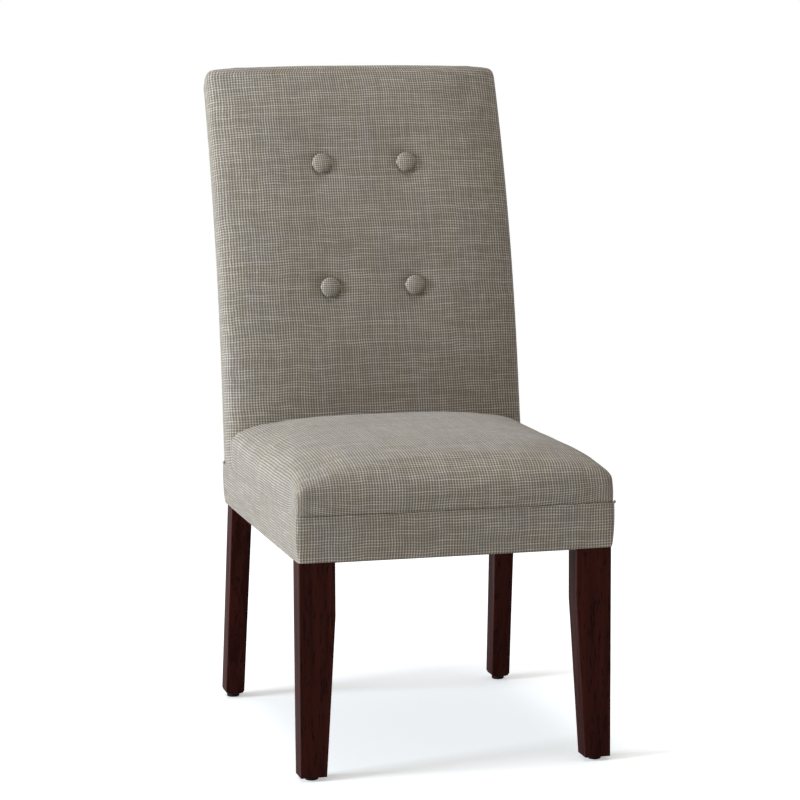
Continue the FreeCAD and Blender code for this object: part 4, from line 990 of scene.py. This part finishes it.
# Underside
def dust_cover():
    """Black cloth stapled up under the rails, notched round the legs, sagging between them."""
    low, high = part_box("dust_cover")
    only(frame["nodes"]["dust_cover"])
    bpy.ops.object.duplicate()
    piece = named("dust_cloth")
    piece.parent = None
    edit(piece)
    bpy.ops.mesh.select_all(action="SELECT")
    bpy.ops.mesh.remove_doubles(threshold=0.00001)
    bpy.ops.mesh.dissolve_limited(angle_limit=math.radians(1))
    width, depth = high[0] - low[0], high[1] - low[1]
    middle_y = (high[1] + low[1]) / 2
    parts = 24
    for step in range(1, parts):
        for axis, start, size in ((0, low[0], width), (1, low[1], depth)):
            plane = [0, 0, 0]
            plane[axis] = start + size * step / parts
            normal = [0, 0, 0]
            normal[axis] = 1
            bpy.ops.mesh.select_all(action="SELECT")
            bpy.ops.mesh.bisect(plane_co=plane, plane_no=normal)
    bpy.ops.mesh.select_all(action="SELECT")
    bpy.ops.mesh.quads_convert_to_tris()
    leave_edit()
    place = points(piece)
    x, y, z = place.T
    across = np.clip(1 - np.abs(x) / (width / 2 - RAIL_COVERED), 0, 1)
    along = np.clip(1 - np.abs(y - middle_y) / (depth / 2 - RAIL_COVERED), 0, 1)
    sag = 0.0022 * smooth_step(across * 2) * smooth_step(along * 2)
    ripple = 0.0005 * np.sin(x * 95) * np.exp(-8 * along) + 0.0005 * np.sin(y * 88) * np.exp(-8 * across)
    inside = (across > 0) & (along > 0)
    place[:, 2] = z - np.where(inside, sag + ripple, 0)
    set_points(piece, place)
    bpy.ops.object.shade_smooth_by_angle(angle=math.radians(50))
    dress(piece, "dust_cloth")
    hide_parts("dust_cover")
    return low, high


def band_turn():
    """Edge of the band's cloth, turned in flat under the rails between the legs."""
    low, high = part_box("dust_cover")
    side_in, side_out = high[0] - 0.0006, BAND_HALF - 0.0020
    front_in, front_out = low[1] + 0.0006, FRONT_Y + 0.0026
    rear_in, rear_out = high[1] - 0.0006, FRONT_Y + BAND_DEPTH - 0.0030
    between_front, between_rear = 0.1835, 0.2010
    between_sides = (-0.2998, 0.1600)
    spans = (((-between_front, between_front), (front_out, front_in)),
             ((-between_rear, between_rear), (rear_in, rear_out)),
             ((side_in, side_out), between_sides),
             ((-side_out, -side_in), between_sides))
    pieces = []
    bpy.ops.object.select_all(action="DESELECT")
    for (left, right), (near, far) in spans:
        place = ((left + right) / 2, (near + far) / 2, low[2] + 0.0004)
        bpy.ops.mesh.primitive_cube_add(size=1, location=place, scale=(right - left, far - near, 0.0009))
        pieces.append(bpy.context.active_object)
    for strip in pieces:
        strip.select_set(True)
    bpy.ops.object.join()
    piece = named("band_turned_edge")
    bpy.ops.object.transform_apply(location=True, rotation=True, scale=True)
    round_edges(piece, 0.0003, 2, lambda edge: edge.calc_length() > 0.02)
    lay_flat(piece, points(piece)[:, :2])
    bpy.ops.object.shade_smooth_by_angle(angle=math.radians(40))
    dress(piece)


STAPLE_WIRE = 0.0006
STAPLE_WIDTH = 0.0098


def staples(low, high):
    """Fine wire staples round the dust cover."""
    bpy.ops.object.select_all(action="DESELECT")
    bpy.ops.mesh.primitive_cylinder_add(vertices=8, radius=STAPLE_WIRE / 2, depth=STAPLE_WIDTH,
                                        rotation=(0, math.pi / 2, 0))
    crown = named("staple")
    bpy.ops.object.transform_apply(location=True, rotation=True, scale=True)
    edge = 0.008
    spots = []
    for step in range(9):
        x = -0.160 + 0.040 * step
        spots += [(x, low[1] + edge, 0.1 * (step % 3 - 1)), (x, high[1] - edge, 0.08 * (step % 2))]
    for step in range(10):
        y = low[1] + 0.080 + 0.0385 * step
        for side in (low[0] + edge, high[0] - edge):
            spots.append((side, y, math.pi / 2 + 0.07 * (step % 3 - 1)))
    copies = []
    for x, y, turn in spots:
        only(crown)
        bpy.ops.object.duplicate()
        copy = bpy.context.active_object
        copy.location = (x, y, low[2] - 0.0002)
        copy.rotation_euler = (0, 0, turn)
        copies.append(copy)
    bpy.data.objects.remove(crown)
    bpy.ops.object.select_all(action="DESELECT")
    for copy in copies:
        copy.select_set(True)
    bpy.context.view_layer.objects.active = copies[0]
    bpy.ops.object.join()
    piece = named("dust_cover_staples")
    bpy.ops.object.transform_apply(location=True, rotation=True, scale=True)
    bpy.ops.object.shade_smooth_by_angle(angle=math.radians(50))
    dress(piece, "screw_steel")


def seam_end(name, place, radius):
    """Small knot of gathered cloth where the seat's seam ends."""
    bpy.ops.object.select_all(action="DESELECT")
    bpy.ops.mesh.primitive_uv_sphere_add(segments=20, ring_count=12, radius=radius, location=place)
    piece = named(name)
    edit(piece)
    bpy.ops.mesh.select_all(action="SELECT")
    bpy.ops.transform.resize(value=(0.8, 1.2, 1.0), center_override=place)
    leave_edit()
    bpy.ops.object.transform_apply(location=True, rotation=True, scale=True)
    lay_flat(piece, points(piece)[:, 1:])
    bpy.ops.object.shade_smooth()
    dress(piece)


seat_cushion()
back_cushion()
outside_back()
band()
buttons()
band_turn()
staples(*dust_cover())
seam_end("seam_end_right", (0.2428, FRONT_Y + 0.0035, SEAM_Z + 0.0006), 0.0024)
seam_end("seam_end_left", (-0.2432, FRONT_Y + 0.535, SEAM_Z + 0.0010), 0.0024)


# Studio
def pale_floor():
    """Floor that keeps the chair's shadow and runs into a white backdrop far from it."""
    bpy.ops.object.select_all(action="DESELECT")
    bpy.ops.mesh.primitive_plane_add(size=60)
    floor = named("studio_floor")
    finish = Finish("pale_floor", {"Roughness": 1.0, "Specular IOR Level": 0.0})
    finish.shader.inputs["Base Color"].default_value = (0.86, 0.86, 0.86, 1)
    seen = finish.node("ShaderNodeLightPath", {}, {}, out="Is Camera Ray")
    glow = finish.node("ShaderNodeEmission", {}, {"Color": (1, 1, 1, 1), "Strength": 0.42})
    dark = finish.node("ShaderNodeEmission", {}, {"Color": (0, 0, 0, 1), "Strength": 0.0})
    lit = finish.node("ShaderNodeMixShader", {}, {0: seen, 1: dark, 2: glow})
    total = finish.node("ShaderNodeAddShader", {}, {0: Wire(finish, finish.shader.outputs[0]), 1: lit})
    x, y, _ = finish.split(finish.place())
    far = finish.fit((x * x + y * y) ** 0.5, 1.0, 3.0)
    white = finish.node("ShaderNodeEmission", {}, {"Color": (1, 1, 1, 1), "Strength": 1.0})
    seen_far = finish.node("ShaderNodeMixShader", {}, {0: far * seen, 1: total, 2: white})
    output = finish.tree.nodes["Material Output"]
    finish.tree.links.new(seen_far.socket, output.inputs["Surface"])
    floor.data.materials.append(finish.material)


def white_studio(strength, colour):
    """World that lights the chair softly, and is plain white to the eye, in gloss and through glass."""
    world = bpy.data.worlds.new("studio")
    scene.world = world
    world.use_nodes = True
    tree = world.node_tree
    tree.nodes.clear()
    path = tree.nodes.new("ShaderNodeLightPath")
    seen = tree.nodes.new("ShaderNodeMath")
    seen.operation = "MAXIMUM"
    tree.links.new(path.outputs["Is Camera Ray"], seen.inputs[0])
    tree.links.new(path.outputs["Is Glossy Ray"], seen.inputs[1])
    both = tree.nodes.new("ShaderNodeMath")
    both.operation = "MAXIMUM"
    tree.links.new(seen.outputs[0], both.inputs[0])
    tree.links.new(path.outputs["Is Transmission Ray"], both.inputs[1])
    light = tree.nodes.new("ShaderNodeBackground")
    light.inputs["Strength"].default_value = strength
    light.inputs["Color"].default_value = (*colour, 1)
    white = tree.nodes.new("ShaderNodeBackground")
    white.inputs["Strength"].default_value = 1.0
    white.inputs["Color"].default_value = (1, 1, 1, 1)
    mix = tree.nodes.new("ShaderNodeMixShader")
    tree.links.new(both.outputs[0], mix.inputs[0])
    tree.links.new(light.outputs[0], mix.inputs[1])
    tree.links.new(white.outputs[0], mix.inputs[2])
    output = tree.nodes.new("ShaderNodeOutputWorld")
    tree.links.new(mix.outputs[0], output.inputs["Surface"])


def soft_lamp(name, place, target, size, power, colour):
    """Square soft box that looks at a target."""
    lamp = bpy.data.lights.new(name, "AREA")
    lamp.shape = "RECTANGLE"
    lamp.size = lamp.size_y = size
    lamp.energy = power
    lamp.color = colour
    holder = bpy.data.objects.new(name, lamp)
    scene.collection.objects.link(holder)
    holder.location = place
    holder.rotation_euler = (Vector(target) - Vector(place)).to_track_quat("-Z", "Y").to_euler()


def aim_camera(place, down, round_left, roll, shift):
    """Camera at the photo's place and angles, in degrees. Its lens is fitted to the photo."""
    data = bpy.data.cameras.new("camera")
    data.sensor_width = 36
    data.lens = LENS_PIXELS / PHOTO_PIXELS * data.sensor_width
    data.shift_x, data.shift_y = shift
    data.clip_end = 100
    camera = bpy.data.objects.new("camera", data)
    scene.collection.objects.link(camera)
    camera.location = place
    aim = Euler((math.radians(90 - down), 0, math.radians(-round_left))).to_matrix()
    camera.rotation_euler = (aim @ Matrix.Rotation(math.radians(roll), 3, "Z")).to_euler()
    scene.camera = camera


PHOTO_PIXELS = 800
LENS_PIXELS = 2900
MID_CHAIR = (0, 0, 0.5)
pale_floor()
white_studio(0.31, (1.0, 0.98, 0.92))
soft_lamp("key", (-7.0, -0.75, 2.3), MID_CHAIR, 2.8, 745, (0.79, 0.89, 0.99))
soft_lamp("top", (-0.4, -0.2, 6.5), MID_CHAIR, 2.6, 192, (0.98, 0.985, 0.985))
aim_camera((-1.1253, -4.3718, 1.1216), 7.19, 15.55, -0.13, (-0.0684, -0.0330))
scene.view_settings.view_transform = "Standard"
